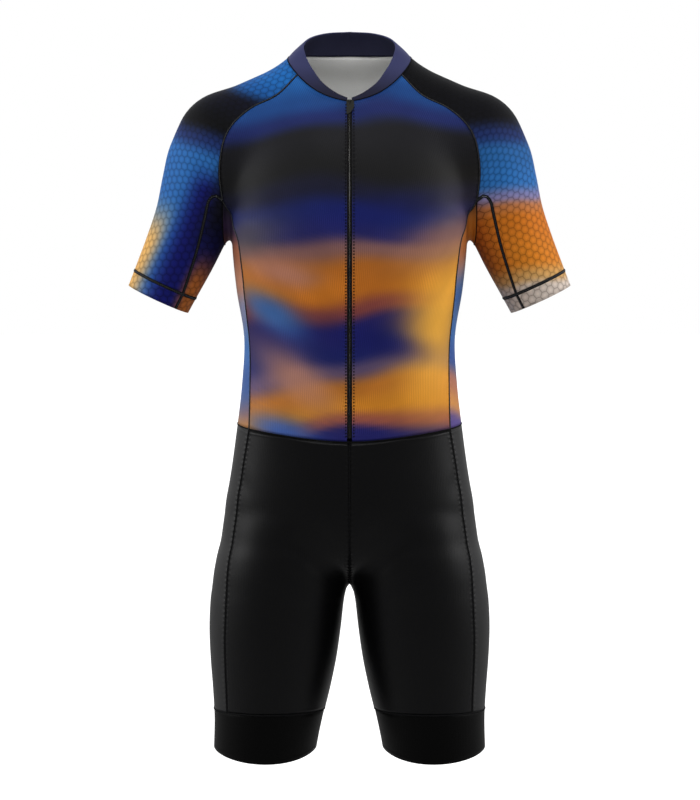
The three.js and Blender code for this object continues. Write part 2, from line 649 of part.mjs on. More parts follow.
// The collar stands on the neck seam and leans in to its top edge
const collarTurns = join(neckFront, neckShoulder, neckHalfBack);
const collarBase = join(collarTurns, reversed(mirrored(collarTurns)));
const collarTop = collarBase.map((p) => {
  const turn = Math.atan2(Math.abs(p.x) / NECK.wide, -p.y / (p.y < 0 ? NECK.front : NECK.back));
  const top = neckPoint(RIM, COLLAR_RIM, THREE.MathUtils.radToDeg(turn));
  return new THREE.Vector3(Math.sign(p.x) * Math.max(top.x, ZIP_EDGE * 0.6), top.y, top.z);
});
const COLLAR_BOW = 2.2; // how far the collar bellies outwards at mid height
const collarFoot = collarBase.map((p, i) => {
  const along = collarBase[Math.min(i + 1, collarBase.length - 1)].clone().sub(collarBase[Math.max(i - 1, 0)]);
  return p.clone().addScaledVector(normalAt(p).cross(along).normalize(), SEAM_GAP * 0.7);
});
const collarOuter = Array.from({ length: COLLAR_ROWS + 1 }, (_, j) =>
  collarTop.map((top, i) => {
    const up = 1 - j / COLLAR_ROWS;
    const p = collarFoot[i].clone().lerp(top, up);
    const out = new THREE.Vector3(p.x, p.y, 0).normalize();
    const high = THREE.MathUtils.clamp(top.distanceTo(collarFoot[i]) / 20, 0, 1);
    return p.addScaledVector(out, COLLAR_BOW * high * 4 * up * (1 - up));
  }),
);
const collarInner = collarOuter.map((line, j) =>
  line.map((p, i) => {
    const along = line[Math.min(i + 1, line.length - 1)].clone().sub(line[Math.max(i - 1, 0)]);
    const up = collarOuter[Math.max(j - 1, 0)][i].clone().sub(collarOuter[Math.min(j + 1, COLLAR_ROWS)][i]);
    const face = j === COLLAR_ROWS ? normalAt(p) : along.cross(up).normalize();
    return p.clone().addScaledVector(face, -COLLAR_CLOTH);
  }),
);
addMesh("collar", wallGeometry(collarOuter, collarInner), navy);

// The zip: a chain between the front panels, and a tape behind each of them
const zipTop = neckFront[0].z - SEAM_GAP;
const zipBottom = WAIST.front + ZIP_STOP;
function zipStrip(from, to, columns, outerFace, innerFace) {
  const grid = arc(zipTop, zipBottom, ZIP_ROWS, (z) => arc(from, to, columns, (x) => seenAt(FRONT, x, z)));
  return wallGeometry(offsetGrid(grid, outerFace), offsetGrid(grid, innerFace));
}
addMesh("zip_chain", zipStrip(-CHAIN_HALF, CHAIN_HALF, 2, CHAIN_PROUD, -CLOTH), coil);
const tapeFace = -CLOTH - TAPE_GAP;
addMesh("zip_tape_left", zipStrip(SEAM_GAP / 2, TAPE_HALF, 2, tapeFace, tapeFace - TAPE_CLOTH), tape);
addMesh("zip_tape_right", zipStrip(-TAPE_HALF, -SEAM_GAP / 2, 2, tapeFace, tapeFace - TAPE_CLOTH), tape);

// The slider and its pull, in a frame at the top of the zip: x across, up along the cloth, out of the cloth
const sliderTop = seenAt(FRONT, 0, SLIDER_TOP_Z);
const upCloth = sliderTop.clone().sub(seenAt(FRONT, 0, SLIDER_TOP_Z - PLATE.long)).normalize();
const across = new THREE.Vector3(1, 0, 0);
const outOfCloth = across.clone().cross(upCloth);
const onCloth = (out, x = 0) => {
  const at = sliderTop.clone().addScaledVector(outOfCloth, out).addScaledVector(across, x);
  return (axes) => new THREE.Matrix4().makeBasis(...axes).setPosition(at);
};

function outline(points) {
  return new THREE.Shape(points.map(([x, y]) => new THREE.Vector2(x, y)));
}

function slab(shape, depth, frame) {
  const options = { depth, bevelEnabled: false, curveSegments: 10 };
  return new THREE.ExtrudeGeometry(shape, options).applyMatrix4(frame);
}

const kernel = await Module();
kernel.setup();
const { Manifold, Mesh } = kernel;

// Closed geometries as one solid
function fuse(...geometries) {
  const parts = geometries.map((geometry) => {
    const corners = geometry.getAttribute("position").array;
    const mesh = new Mesh({
      numProp: 3,
      vertProperties: new Float32Array(corners),
      triVerts: Uint32Array.from({ length: corners.length / 3 }, (_, i) => i),
    });
    mesh.merge();
    return new Manifold(mesh);
  });
  const { vertProperties, triVerts } = Manifold.union(parts).getMesh();
  const fused = new THREE.BufferGeometry();
  fused.setAttribute("position", new THREE.Float32BufferAttribute(vertProperties, 3));
  fused.setIndex([...triVerts]);
  fused.computeVertexNormals();
  return fused;
}

const { top, foot, long, corner } = PLATE;
const plateOutline = outline([
  [-top + corner, 0],
  [-top, -corner],
  [-top, -long * 0.4],
  [-foot, -long + corner],
  [-foot + corner, -long],
  [foot - corner, -long],
  [foot, -long + corner],
  [top, -long * 0.4],
  [top, -corner],
  [top - corner, 0],
]);
const bridgeOutline = outline([
  [-BRIDGE.from, PLATE.lift + PLATE.thick / 2],
  [-BRIDGE.from, BRIDGE.tall - 1],
  [-BRIDGE.from - 1, BRIDGE.tall],
  [-BRIDGE.from - 3, BRIDGE.tall],
  [-BRIDGE.to, PLATE.lift + PLATE.thick + 0.4],
  [-BRIDGE.to, PLATE.lift + PLATE.thick / 2],
]);
bridgeOutline.holes.push(new THREE.Path().absarc(-PIN.down, PIN.out, BRIDGE.eye, 0, 2 * Math.PI, true));
const slider = fuse(
  slab(plateOutline, PLATE.thick, onCloth(PLATE.lift)([across, upCloth, outOfCloth])),
  slab(bridgeOutline, 2 * BRIDGE.half, onCloth(0, -BRIDGE.half)([upCloth, outOfCloth, across])),
);
addMesh("zip_slider", slider, metal);

const pullOutline = outline(PULL_EDGE.map(({ x, down }) => [x, -PIN.down - down]).reverse());
const { half, from: windowTop, to: windowFoot } = PULL_WINDOW;
pullOutline.holes.push(
  new THREE.Path([
    new THREE.Vector2(-half, -PIN.down - windowTop),
    new THREE.Vector2(-half, -PIN.down - windowFoot),
    new THREE.Vector2(half, -PIN.down - windowFoot),
    new THREE.Vector2(half, -PIN.down - windowTop),
  ]),
);
const pullFrame = onCloth(PIN.out - PULL_THICK / 2)([across, upCloth, outOfCloth]);
addMesh("zip_pull", fuse(slab(pullOutline, PULL_THICK, pullFrame)), moulded);

export default suit;
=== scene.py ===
# %% [markdown]
# # A short-sleeved triathlon suit, filled out as it is when worn
# The suit is sewn from about twenty cut pieces of stretch knit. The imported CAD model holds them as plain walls.
# Here each piece gets its real surface: a finer shell on the same form, soft creases, flatlock seams,
# a printed colour wash, a honeycomb on the sleeves, a coil zip and its pull.
# All shapes are worked out in millimetres in the CAD frame, and are turned to metres when a mesh is made.

import math

import bmesh
import bpy
import numpy as np
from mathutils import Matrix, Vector


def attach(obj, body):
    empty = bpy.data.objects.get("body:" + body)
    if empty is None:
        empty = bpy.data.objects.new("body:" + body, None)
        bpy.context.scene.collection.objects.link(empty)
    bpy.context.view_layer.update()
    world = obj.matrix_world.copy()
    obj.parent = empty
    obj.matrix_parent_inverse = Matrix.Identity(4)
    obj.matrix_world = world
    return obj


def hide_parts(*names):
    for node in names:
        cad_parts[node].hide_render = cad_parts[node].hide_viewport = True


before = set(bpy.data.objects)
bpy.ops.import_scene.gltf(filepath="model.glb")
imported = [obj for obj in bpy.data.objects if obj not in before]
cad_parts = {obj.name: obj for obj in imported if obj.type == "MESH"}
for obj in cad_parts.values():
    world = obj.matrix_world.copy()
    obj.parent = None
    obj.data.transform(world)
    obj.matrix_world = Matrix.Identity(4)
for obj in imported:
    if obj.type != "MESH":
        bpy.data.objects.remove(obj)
bpy.context.view_layer.update()
MM = 0.001


def put_in_scene(name, data):
    """An object with that data, linked to the scene."""
    thing = bpy.data.objects.new(name, data)
    bpy.context.scene.collection.objects.link(thing)
    return thing


# %% [markdown]
# ## The camera and the light
# The photograph was taken almost level, from far enough away that the suit hardly narrows towards its hems.
# A long lens from four metres gives the same view. The background is white and the light is soft and even.
# The sky is seen as plain white, and as light it is dimmer on the side of the camera, as a studio is, so that black
# cloth stays black where it faces us. Two large soft lamps at the sides give the knit its broad lights, and a third,
# high in front, reaches through the neck to the pale inside of the back.
# The plain view transform keeps the white background white and the dyes as bright as they are.

# %% Camera
AIM = Vector((0.0006, 0, -0.4518))
DISTANCE = 4.0
ELEVATION = math.radians(4.5)
VIEW_HEIGHT = 1.0872  # metres of the scene from the top to the bottom edge of the frame

photographer = bpy.data.cameras.new("photographer")
photographer.lens = photographer.sensor_width / 2 / (VIEW_HEIGHT / 2 / DISTANCE)
camera = put_in_scene("camera", photographer)
camera.location = AIM + DISTANCE * Vector((0, -math.cos(ELEVATION), math.sin(ELEVATION)))
camera.rotation_euler = (math.pi / 2 - ELEVATION, 0, 0)
bpy.context.scene.camera = camera
print("lens:", round(photographer.lens, 1), "mm")

# %% Colours
def srgb(code):
    """The red, green and blue of a hex colour, from 0 to 1."""
    return np.array([int(code[k : k + 2], 16) for k in (0, 2, 4)]) / 255


def to_light(c):
    """Such colours as linear light, a channel c being ((c + 0.055) / 1.055) to the power 2.4, and as opaque."""
    light = np.where(c < 0.04045, c / 12.92, ((c + 0.055) / 1.055) ** 2.4)
    return np.concatenate([light, np.ones_like(light[..., :1])], -1)


def rgba(code):
    """A hex colour as a socket wants it."""
    return tuple(to_light(srgb(code)))


# %% Node helper
def add(tree, kind, sockets=(), **settings):
    """Adds one node, gives it its settings, and sets or links its input sockets."""
    node = tree.nodes.new(kind)
    for key, value in settings.items():
        setattr(node, key, value)
    for key, value in dict(sockets).items():
        if isinstance(value, bpy.types.NodeSocket):
            tree.links.new(value, node.inputs[key])
        else:
            node.inputs[key].default_value = value
    return node


# %% Sky and lamps
def soft_lamp(name, place, aim, size, power):
    """A square area lamp at a place, turned to look at a point."""
    lamp = bpy.data.lights.new(name, "AREA")
    lamp.shape, lamp.size, lamp.energy = "SQUARE", size, power
    stand = put_in_scene(name, lamp)
    stand.location = place
    stand.rotation_euler = (Vector(aim) - Vector(place)).to_track_quat("-Z", "Y").to_euler()


sky = bpy.data.worlds.new("white_studio")
sky.use_nodes = True
room = sky.node_tree
where = add(room, "ShaderNodeSeparateXYZ", {0: add(room, "ShaderNodeTexCoord").outputs["Generated"]})
glow = add(room, "ShaderNodeMapRange", {0: where.outputs["Y"], 1: -1.0, 2: 1.0, 3: 0.35, 4: 1.0})
to_lens = add(room, "ShaderNodeLightPath").outputs["Is Camera Ray"]
seen = add(room, "ShaderNodeMath", {0: glow.outputs[0], 1: to_lens}, operation="MAXIMUM")
room.links.new(seen.outputs[0], room.nodes["Background"].inputs["Strength"])
room.nodes["Background"].inputs["Color"].default_value = (1, 1, 1, 1)
bpy.context.scene.world = sky
bpy.context.scene.view_settings.view_transform = "Standard"
soft_lamp("key_left", (-3.0, -0.2, 0.5), (0, 0, -0.5), 1.6, 56)
soft_lamp("key_right", (3.0, -0.2, 0.5), (0, 0, -0.5), 1.6, 56)
soft_lamp("high_front", (0, -2.6, 2.6), (0, 0, -0.3), 1.4, 62)

# %% [markdown]
# ## The form that the cloth lies on
# Knit race wear is cut smaller than the body, so it has the body's own smooth surface: trunk, shoulders, upper
# arms and thighs. The form is a field, a function of a point that is negative inside and zero on the cloth.
# Each limb is an oval section whose sizes follow a short table, and where limbs meet the fields are blended softly.
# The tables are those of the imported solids, so the two models agree to a fraction of a millimetre.

# %% Tables of the form
def table(names, *rows):
    """Rows of numbers as named columns."""
    return dict(zip(names.split(), np.array(rows, float).T))


TRUNK = table(
    "z wide front back round",
    (60, 58, 46, 50, 2.1),
    (12, 74, 54, 62, 2.1),
    (-20, 96, 58, 84, 2.15),
    (-48, 116, 64, 97, 2.2),
    (-78, 134, 88, 106, 2.25),
    (-115, 148, 106, 111, 2.35),
    (-170, 158, 116, 111, 2.7),
    (-230, 159, 114, 104, 2.9),
    (-300, 153, 107, 95, 2.6),
    (-365, 143, 101, 87, 2.4),
    (-430, 146, 100, 86, 2.35),
    (-490, 153, 101, 93, 2.3),
    (-560, 163, 104, 113, 2.25),
    (-620, 175, 105, 124, 2.2),
    (-680, 184, 104, 124, 2.2),
    (-760, 186, 100, 118, 2.2),
)
CROTCH_Z, CROTCH_ROUND = -694, 120
YOKE_FROM, YOKE_TO, YOKE_RADIUS, YOKE_BLEND = np.array([60, 9, -61]), np.array([158, 7, -104]), 69, 30
ARM_TOP = np.array([163, 6, -108])
ARM_ANGLE = math.radians(25)
ARM = table(
    "down radius deep out",
    (-20, 69, 0.88, 2),
    (35, 68.5, 0.9, 3.5),
    (75, 59.5, 0.98, 4.5),
    (115, 52.8, 1.02, 1.7),
    (159, 49.4, 1.04, 0),
    (205, 46, 1.06, 0),
    (228, 44.5, 1.06, 0),
    (270, 43, 1.06, 0),
)
ARM_BLEND = 14
LEG = table(
    "z inner outer front back",
    (-540, 30, 90, 30, 40),
    (-600, 6, 156, 84, 94),
    (-650, -1, 177, 95, 107),
    (-680, 0, 184, 97, 106),
    (-706, 4, 187.5, 96, 101),
    (-726, 8, 190, 95, 98),
    (-764, 12.5, 191.5, 93, 94),
    (-805, 18.5, 190, 89, 89),
    (-846, 27, 187, 84, 83),
    (-887, 37, 185, 79, 77),
    (-930, 45.5, 186, 75, 73),
    (-980, 52, 187, 73, 71),
)
LEG_BLEND = 13


def read(rows, column, at):
    """A column of a table at places along its first column: a cubic joins each two rows,
    and its slope at a row is that of the chord between the row's neighbours."""
    x, y = next(iter(rows.values())), rows[column]
    if x[0] > x[-1]:
        x, y = x[::-1], y[::-1]
    before, after = np.maximum(np.arange(len(x)) - 1, 0), np.minimum(np.arange(len(x)) + 1, len(x) - 1)
    slope = (y[after] - y[before]) / (x[after] - x[before])
    i = np.clip(np.searchsorted(x, at) - 1, 0, len(x) - 2)
    span = x[i + 1] - x[i]
    t = np.clip((at - x[i]) / span, 0, 1)
    start, end, rise = slope[i] * span, slope[i + 1] * span, y[i + 1] - y[i]
    return y[i] + t * (start + t * (3 * rise - 2 * start - end + t * (start + end - 2 * rise)))


# %% Field of the form
def blend_union(a, b, reach):
    """The smaller of two fields, less a soft fillet of that reach where they are nearly equal."""
    h = np.maximum(reach - np.abs(a - b), 0) / reach
    return np.minimum(a, b) - h * h * reach / 4


def out_of_oval(x, y, half_x, half_y, power):
    """Distance out of a superellipse |x/a|^n + |y/b|^n = 1, along the ray from its middle."""
    reach = np.hypot(x, y)
    ratio = (np.abs(x / half_x) ** power + np.abs(y / half_y) ** power) ** (1 / power)
    return np.where(ratio < 1e-6, -np.minimum(half_x, half_y), reach - reach / np.maximum(ratio, 1e-6))


def trunk_field(x, y, z):
    """The trunk's oval by height, closed softly under the hips."""
    deep = np.where(y < 0, read(TRUNK, "front", z), read(TRUNK, "back", z))
    wall = out_of_oval(x, y, read(TRUNK, "wide", z), deep, read(TRUNK, "round", z))
    return -blend_union(-wall, z - CROTCH_Z, CROTCH_ROUND)


def shoulder_field(x, y, z):
    """Trunk, the rounded bar of each shoulder and the upper arm, blended. The same on both sides."""
    side = np.abs(x)
    p = np.stack([side, y, z], -1)
    along = YOKE_TO - YOKE_FROM
    t = np.clip((p - YOKE_FROM) @ along / (along @ along), 0, 1)
    yoke = np.linalg.norm(p - YOKE_FROM - t[:, None] * along, axis=-1) - YOKE_RADIUS
    sin, cos = math.sin(ARM_ANGLE), math.cos(ARM_ANGLE)
    dx, dy, dz = (p - ARM_TOP).T
    down = np.clip(dx * sin - dz * cos, 0, ARM["down"][-1])
    out = read(ARM, "out", down)
    off = np.stack([dx - down * sin - out * cos, dy / read(ARM, "deep", down), dz + down * cos - out * sin])
    arm = np.linalg.norm(off, axis=0) - read(ARM, "radius", down)
    return blend_union(blend_union(trunk_field(x, y, z), yoke, YOKE_BLEND), arm, ARM_BLEND)


def leg_field(x, y, z):
    """One thigh's oval by height, between its inner and outer edge."""
    inner, outer = read(LEG, "inner", z), read(LEG, "outer", z)
    deep = np.where(y < 0, read(LEG, "front", z), read(LEG, "back", z))
    return out_of_oval(x - (inner + outer) / 2, y, (outer - inner) / 2, deep, 2)


def hip_field(x, y, z):
    """Both thighs and the trunk, blended."""
    legs = blend_union(leg_field(x, y, z), leg_field(-x, y, z), LEG_BLEND)
    return blend_union(trunk_field(x, y, z), legs, LEG_BLEND)


def form_field(p):
    """The whole form at an array of points: hips and thighs below the top of the leg table, shoulders above."""
    x, y, z = np.asarray(p, float).reshape(-1, 3).T
    field = np.empty(len(x))
    low = z < LEG["z"][0]
    field[low] = hip_field(x[low], y[low], z[low])
    field[~low] = shoulder_field(x[~low], y[~low], z[~low])
    return field.reshape(np.shape(p)[:-1])


# %% Finding the form's surface
BLUR = 0.5
STRIDE = 6
SIGHT = 250


def slope_at(p):
    """How steeply the field rises along x, y and z, from its difference over a millimetre."""
    steps = BLUR * np.eye(3)
    p = p[..., None, :]
    return (form_field(p + steps) - form_field(p - steps)) / (2 * BLUR)


def unit(v):
    return v / np.maximum(np.linalg.norm(v, axis=-1, keepdims=True), 1e-12)


def normal_at(p):
    return unit(slope_at(p))


def settle(p, steps=6):
    """Moves points along the slope until they lie on the form: p less slope times field over slope squared."""
    for _ in range(steps):
        slope = slope_at(p)
        p = p - slope * (form_field(p) / np.maximum((slope**2).sum(-1), 0.05))[..., None]
    return p


def first_crossing(start, direction):
    """Walks from each start along its direction until the field changes sign, then halves the last stride."""
    start, direction = np.broadcast_arrays(np.asarray(start, float), np.asarray(direction, float))
    d = np.arange(0, 2 * SIGHT, STRIDE)
    inside = form_field(start[..., None, :] + d[:, None] * direction[..., None, :]) < 0
    k = (inside != inside[..., :1]).argmax(-1)
    near, far = d[k - 1].astype(float), d[k].astype(float)
    for _ in range(24):
        middle = (near + far) / 2
        same = (form_field(start + middle[..., None] * direction) < 0) == inside[..., 0]
        near, far = np.where(same, middle, near), np.where(same, far, middle)
    return start + near[..., None] * direction


def seen_at(side, x, z):
    """The point of the form that shows at x, z from the front (side -1) or from the back (side 1)."""
    x, z = np.broadcast_arrays(np.asarray(x, float), np.asarray(z, float))
    return first_crossing(np.stack([x, np.full_like(x, side * SIGHT), z], -1), (0, -side, 0))


print("front of the chest at z -170:", seen_at(-1, 0, -170).round(2))

# %% [markdown]
# ## The seams
# Two panels share a seam, so the seams come first, as on a paper pattern that is drawn on a fitting form.
# Each is a smooth curve through a few guide points, as they are seen from the front or the back,
# with evenly spaced points that are then settled on the form.

# %% Curves
FINE = 4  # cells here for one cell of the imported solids
FRONT, BACK = -1, 1


def smooth_curve(points, per_span=24):
    """A centripetal Catmull-Rom curve: a cubic between each two points, whose slopes weigh each neighbour
    by the square root of its distance, so that the curve never loops."""
    p = np.vstack([2 * points[0] - points[1], points, 2 * points[-1] - points[-2]])
    gap = np.linalg.norm(np.diff(p, axis=0), axis=1)[:, None] ** 0.5
    a, b, c = gap[:-2], gap[1:-1], gap[2:]
    p0, p1, p2, p3 = p[:-3], p[1:-2], p[2:-1], p[3:]
    start = b * ((p1 - p0) / a - (p2 - p0) / (a + b) + (p2 - p1) / b)
    end = b * ((p2 - p1) / b - (p3 - p1) / (b + c) + (p3 - p2) / c)
    t = np.linspace(0, 1, per_span, endpoint=False)[:, None, None]
    rise = p2 - p1
    x = p1 + t * (start + t * (3 * rise - 2 * start - end + t * (start + end - 2 * rise)))
    return np.vstack([x.transpose(1, 0, 2).reshape(-1, 3), points[-1]])


def run_of(line):
    """Length along a line of points, from its start to each point."""
    return np.append(0, np.cumsum(np.linalg.norm(np.diff(line, axis=0), axis=1)))


def at_lengths(values, run, at):
    """Points or directions along a line, read at lengths from its start."""
    return np.stack([np.interp(at, run, values[:, k]) for k in range(3)], -1)


def spaced(line, share):
    """Points of a line at shares of its length."""
    run = run_of(line)
    return at_lengths(line, run, share * run[-1])


def seam(points, cells, gather=1.0):
    """A smooth curve cut into even cells, each point settled on the form between the two ends.
    With gather above 1 the points stand closer together near the start."""
    line = spaced(smooth_curve(np.array(points)), np.linspace(0, 1, cells * FINE + 1) ** gather)
    line[1:-1] = settle(line[1:-1])
    return line


def join(*curves):
    return np.vstack([curves[0], *(c[1:] for c in curves[1:])])


def mirrored(points):
    return points * (-1, 1, 1)


# %% Tables of the seams
NECK = {"wide": 79, "front": 64, "back": 62}
NECK_SEAM = table(
    "turn z", (0, -50), (23, -43), (39, -34), (55, -21), (72, -5), (90, 7), (130, 13), (180, 15)
)
RIM = {"wide": 63, "front": 60, "back": 54}
COLLAR_RIM = table(
    "turn z", (0, -45.5), (16, -38), (35, -24), (52, -6), (76, 17), (90, 26), (120, 38), (150, 45), (180, 47)
)
RAGLAN_TURN = {FRONT: 55, BACK: 126}
RAGLAN = {
    FRONT: table("x z", (96, -40), (130, -57), (153, -76), (165, -95), (171, -118), (173.5, -146)),
    BACK: table("x z", (88, -22), (118, -50), (145, -82), (162, -112), (171, -146)),
}
UNDERARM = (170, -181)
ARMPIT_PLACES = (-34, -16, 5, 26, 44)
SIDE_SEAM = table("x z", (157, -207), (149, -232), (144, -268), (140, -313), (136, -352), (133.5, -418))
SLEEVE_SEAM = table("x z", (180, -174.5), (187.5, -180.5), (193, -202), (201.5, -237), (213.5, -276))
SLEEVE_SEAM_TURN = math.radians(126.7)
LEG_SIDE_SEAM = table("x z", (148, -565), (160, -650), (167, -731), (168.5, -775), (167.3, -829))
INSEAM = np.array([(5, 8, -719), (10, 6, -745), (15, 4, -784), (23, 2, -826)], float)
WAIST = {"side": -483, "front": -500, "back": -480}
WAIST_SEAM_X = 135
BAND_SEAM = {"side": -874, "front": -871, "back": -874}
LEG_HEM = {"side": -927, "front": -939, "back": -922}
BAND_CENTRE = (110, 0)
BAND_SEAM_TURN = math.radians(44)
CUFF_DOWN, HEM_DEPTH = 228, 22
ZIP_EDGE = 3.4
RAGLAN_ROWS, SIDE_ROWS, SLEEVE_ROWS, LEG_ROWS, INSEAM_ROWS = 9, 13, 7, 15, 6
FRONT_COLUMNS, SIDE_COLUMNS, BACK_HALF, SLEEVE_COLUMNS, UNDER_COLUMNS = 8, 9, 7, 12, 9


# %% Places on the neck, the waist, the arm and the leg
def neck_point(oval, heights, degrees):
    """A point of an oval round the neck, by turn from the front, at the height that its table gives."""
    turn = np.radians(degrees)
    deep = np.where(np.cos(turn) > 0, oval["front"], oval["back"])
    return np.stack([oval["wide"] * np.sin(turn), -deep * np.cos(turn), read(heights, "z", degrees)], -1)


def ring_height(ring, turn):
    """Heights at the side, front and back joined by the cosine of the turn to the power 1.6."""
    to_front = np.cos(turn)
    end = np.where(to_front > 0, ring["front"], ring["back"])
    return ring["side"] + (end - ring["side"]) * np.abs(to_front) ** 1.6


def ring_point(ring, turn, centre=(0, 0)):
    """Where a level ray from a centre leaves the form, by turn from the front towards the wearer's left."""
    turn = np.asarray(turn, float)
    start = np.stack([np.full_like(turn, centre[0]), np.full_like(turn, centre[1]), ring_height(ring, turn)], -1)
    return first_crossing(start, np.stack([np.sin(turn), -np.cos(turn), np.zeros_like(turn)], -1))


def arm_point(down, turn):
    """A point round the arm, by turn from its outside towards the front, at a distance down its axis."""
    sin, cos = math.sin(ARM_ANGLE), math.cos(ARM_ANGLE)
    turn = np.asarray(turn, float)
    start = ARM_TOP + np.array([down * sin, 0, -down * cos])
    return first_crossing(start, np.stack([np.cos(turn) * cos, -np.sin(turn), np.cos(turn) * sin], -1))


def waist_turn(x, low, high):
    """The turn at which the waist ring reaches x, found by halving."""
    for _ in range(30):
        middle = (low + high) / 2
        low, high = (middle, high) if ring_point(WAIST, middle)[0] < x else (low, middle)
    return low


def notch_at(y):
    """The top of the notch between arm and trunk, moved a little onto the arm's side and down."""
    x, z = np.meshgrid(np.arange(156, 184.1, 0.5), np.arange(-330, -100, 0.5), indexing="ij")
    free = form_field(np.stack([x, np.full_like(x, y), z], -1)) > 0
    reached = np.where(free.all(1), 0, free.argmin(1))
    k = reached.argmax()
    return settle(np.array([x[k, 0] + 9, y, z[k, reached[k]] - 5]))


# %% Seams of the wearer's left half
def neck_line(start, end, cells):
    return seam(settle(neck_point(NECK, NECK_SEAM, np.linspace(start, end, 9))), cells)


zip_turn = math.degrees(math.asin(ZIP_EDGE / NECK["wide"]))
neck_front = neck_line(zip_turn, RAGLAN_TURN[FRONT], FRONT_COLUMNS)
neck_shoulder = neck_line(RAGLAN_TURN[FRONT], RAGLAN_TURN[BACK], SLEEVE_COLUMNS)
neck_half_back = neck_line(RAGLAN_TURN[BACK], 180, BACK_HALF)
neck_end = {FRONT: neck_front[-1], BACK: neck_shoulder[-1]}

underarm = {side: seen_at(side, *UNDERARM) for side in (FRONT, BACK)}
armpit = seam([underarm[FRONT], *map(notch_at, ARMPIT_PLACES), underarm[BACK]], UNDER_COLUMNS)
turn_at_waist = {
    FRONT: waist_turn(WAIST_SEAM_X, 0, math.pi / 2),
    BACK: waist_turn(WAIST_SEAM_X, math.pi, math.pi / 2),
}
raglan, side_seam, sleeve_seam, leg_side_seam = {}, {}, {}, {}
for side in (FRONT, BACK):
    rows = {name: seen_at(side, *rows.values()) for name, rows in
            [("raglan", RAGLAN[side]), ("side", SIDE_SEAM), ("sleeve", SLEEVE_SEAM), ("leg", LEG_SIDE_SEAM)]}
    waist_end = ring_point(WAIST, turn_at_waist[side])
    hem_end = arm_point(CUFF_DOWN - HEM_DEPTH, -side * SLEEVE_SEAM_TURN)
    band_end = ring_point(BAND_SEAM, math.pi / 2 + side * BAND_SEAM_TURN, BAND_CENTRE)
    raglan[side] = seam([neck_end[side], *rows["raglan"], underarm[side]], RAGLAN_ROWS)
    side_seam[side] = seam([underarm[side], *rows["side"], waist_end], SIDE_ROWS, 1.4)
    sleeve_seam[side] = seam([underarm[side], *rows["sleeve"], hem_end], SLEEVE_ROWS)
    leg_side_seam[side] = seam([waist_end, *rows["leg"], band_end], LEG_ROWS)

waist_front = seam(ring_point(WAIST, np.linspace(0, turn_at_waist[FRONT], 9)), FRONT_COLUMNS)
waist_side = seam(ring_point(WAIST, np.linspace(turn_at_waist[FRONT], turn_at_waist[BACK], 7)), SIDE_COLUMNS)
waist_back = seam(ring_point(WAIST, np.linspace(turn_at_waist[BACK], math.pi, 9)), BACK_HALF)
waist_zip = seen_at(FRONT, ZIP_EDGE, WAIST["front"])
zip_heights = np.linspace(neck_front[0, 2], WAIST["front"], 15)[1:-1]
zip_edge = seam([neck_front[0], *seen_at(FRONT, ZIP_EDGE, zip_heights), waist_zip], RAGLAN_ROWS + SIDE_ROWS)

# %% Seams of the shorts
HIP_CENTRE = np.array([0, 6, -570.0])


def hip_point(turn):
    """A point of the seat seam in the middle plane, by turn from straight down towards the front."""
    turn = np.asarray(turn, float)
    return first_crossing(HIP_CENTRE, np.stack([np.zeros_like(turn), -np.sin(turn), -np.cos(turn)], -1))


def rise(start):
    """The seat seam from a point of the waist down to the crotch."""
    turn = math.atan2(HIP_CENTRE[1] - start[1], HIP_CENTRE[2] - start[2])
    return seam(hip_point(np.linspace(turn, 0, 15)), LEG_ROWS - INSEAM_ROWS)


inseam_end = ring_point(BAND_SEAM, -math.pi / 2, BAND_CENTRE)
inseam = seam([hip_point(0), *settle(INSEAM), inseam_end], INSEAM_ROWS)
rise_seam = {FRONT: rise(waist_front[0]), BACK: rise(waist_back[-1])}
inner_edge = {side: join(rise_seam[side], inseam) for side in (FRONT, BACK)}


def leg_ring(ring):
    """The ring round the leg in three runs, in front, outside and behind, as the panels above meet it."""
    ends = [-math.pi / 2, math.pi / 2 - BAND_SEAM_TURN, math.pi / 2 + BAND_SEAM_TURN, 1.5 * math.pi]
    cells = [FRONT_COLUMNS, SIDE_COLUMNS, BACK_HALF]
    return [ring_point(ring, np.linspace(a, b, n * FINE + 1), BAND_CENTRE) for a, b, n in zip(ends, ends[1:], cells)]


def hem_ring(down):
    """The ring round the arm in two runs, over the outside and underneath."""
    a, b = SLEEVE_SEAM_TURN, 2 * math.pi - SLEEVE_SEAM_TURN
    return arm_point(down, np.linspace(a, -a, SLEEVE_COLUMNS * FINE + 1)), arm_point(
        down, np.linspace(a, b, UNDER_COLUMNS * FINE + 1)
    )


band_front, band_side, band_back = leg_ring(BAND_SEAM)
hem_outer, hem_under = hem_ring(CUFF_DOWN - HEM_DEPTH)
print("seams drawn; side seam", round(run_of(side_seam[FRONT])[-1]), "mm, waist", round(2 * run_of(waist_front)[-1]))


# %% [markdown]
# ## The panels
# A panel is a sheet between four seams. It starts as the even blend of its four edges, and is then eased as knit
# eases itself: each point moves to the middle of its four neighbours and back onto the form, again and again.
# This is done on a coarse grid and then on a fine one, which is much quicker than on the fine one alone.

# %% Grids between four edges
def edge_blend(top, bottom, left, right):
    """A Coons patch: the left-right blend plus the top-bottom blend, less the blend of the four corners."""
    u = np.linspace(0, 1, len(top))[None, :, None]
    v = np.linspace(0, 1, len(left))[:, None, None]
    grid = (1 - u) * left[:, None] + u * right[:, None] + (1 - v) * top[None] + v * bottom[None]
    corners = (1 - u) * (1 - v) * top[0] + u * (1 - v) * top[-1] + (1 - u) * v * bottom[0] + u * v * bottom[-1]
    return grid - corners


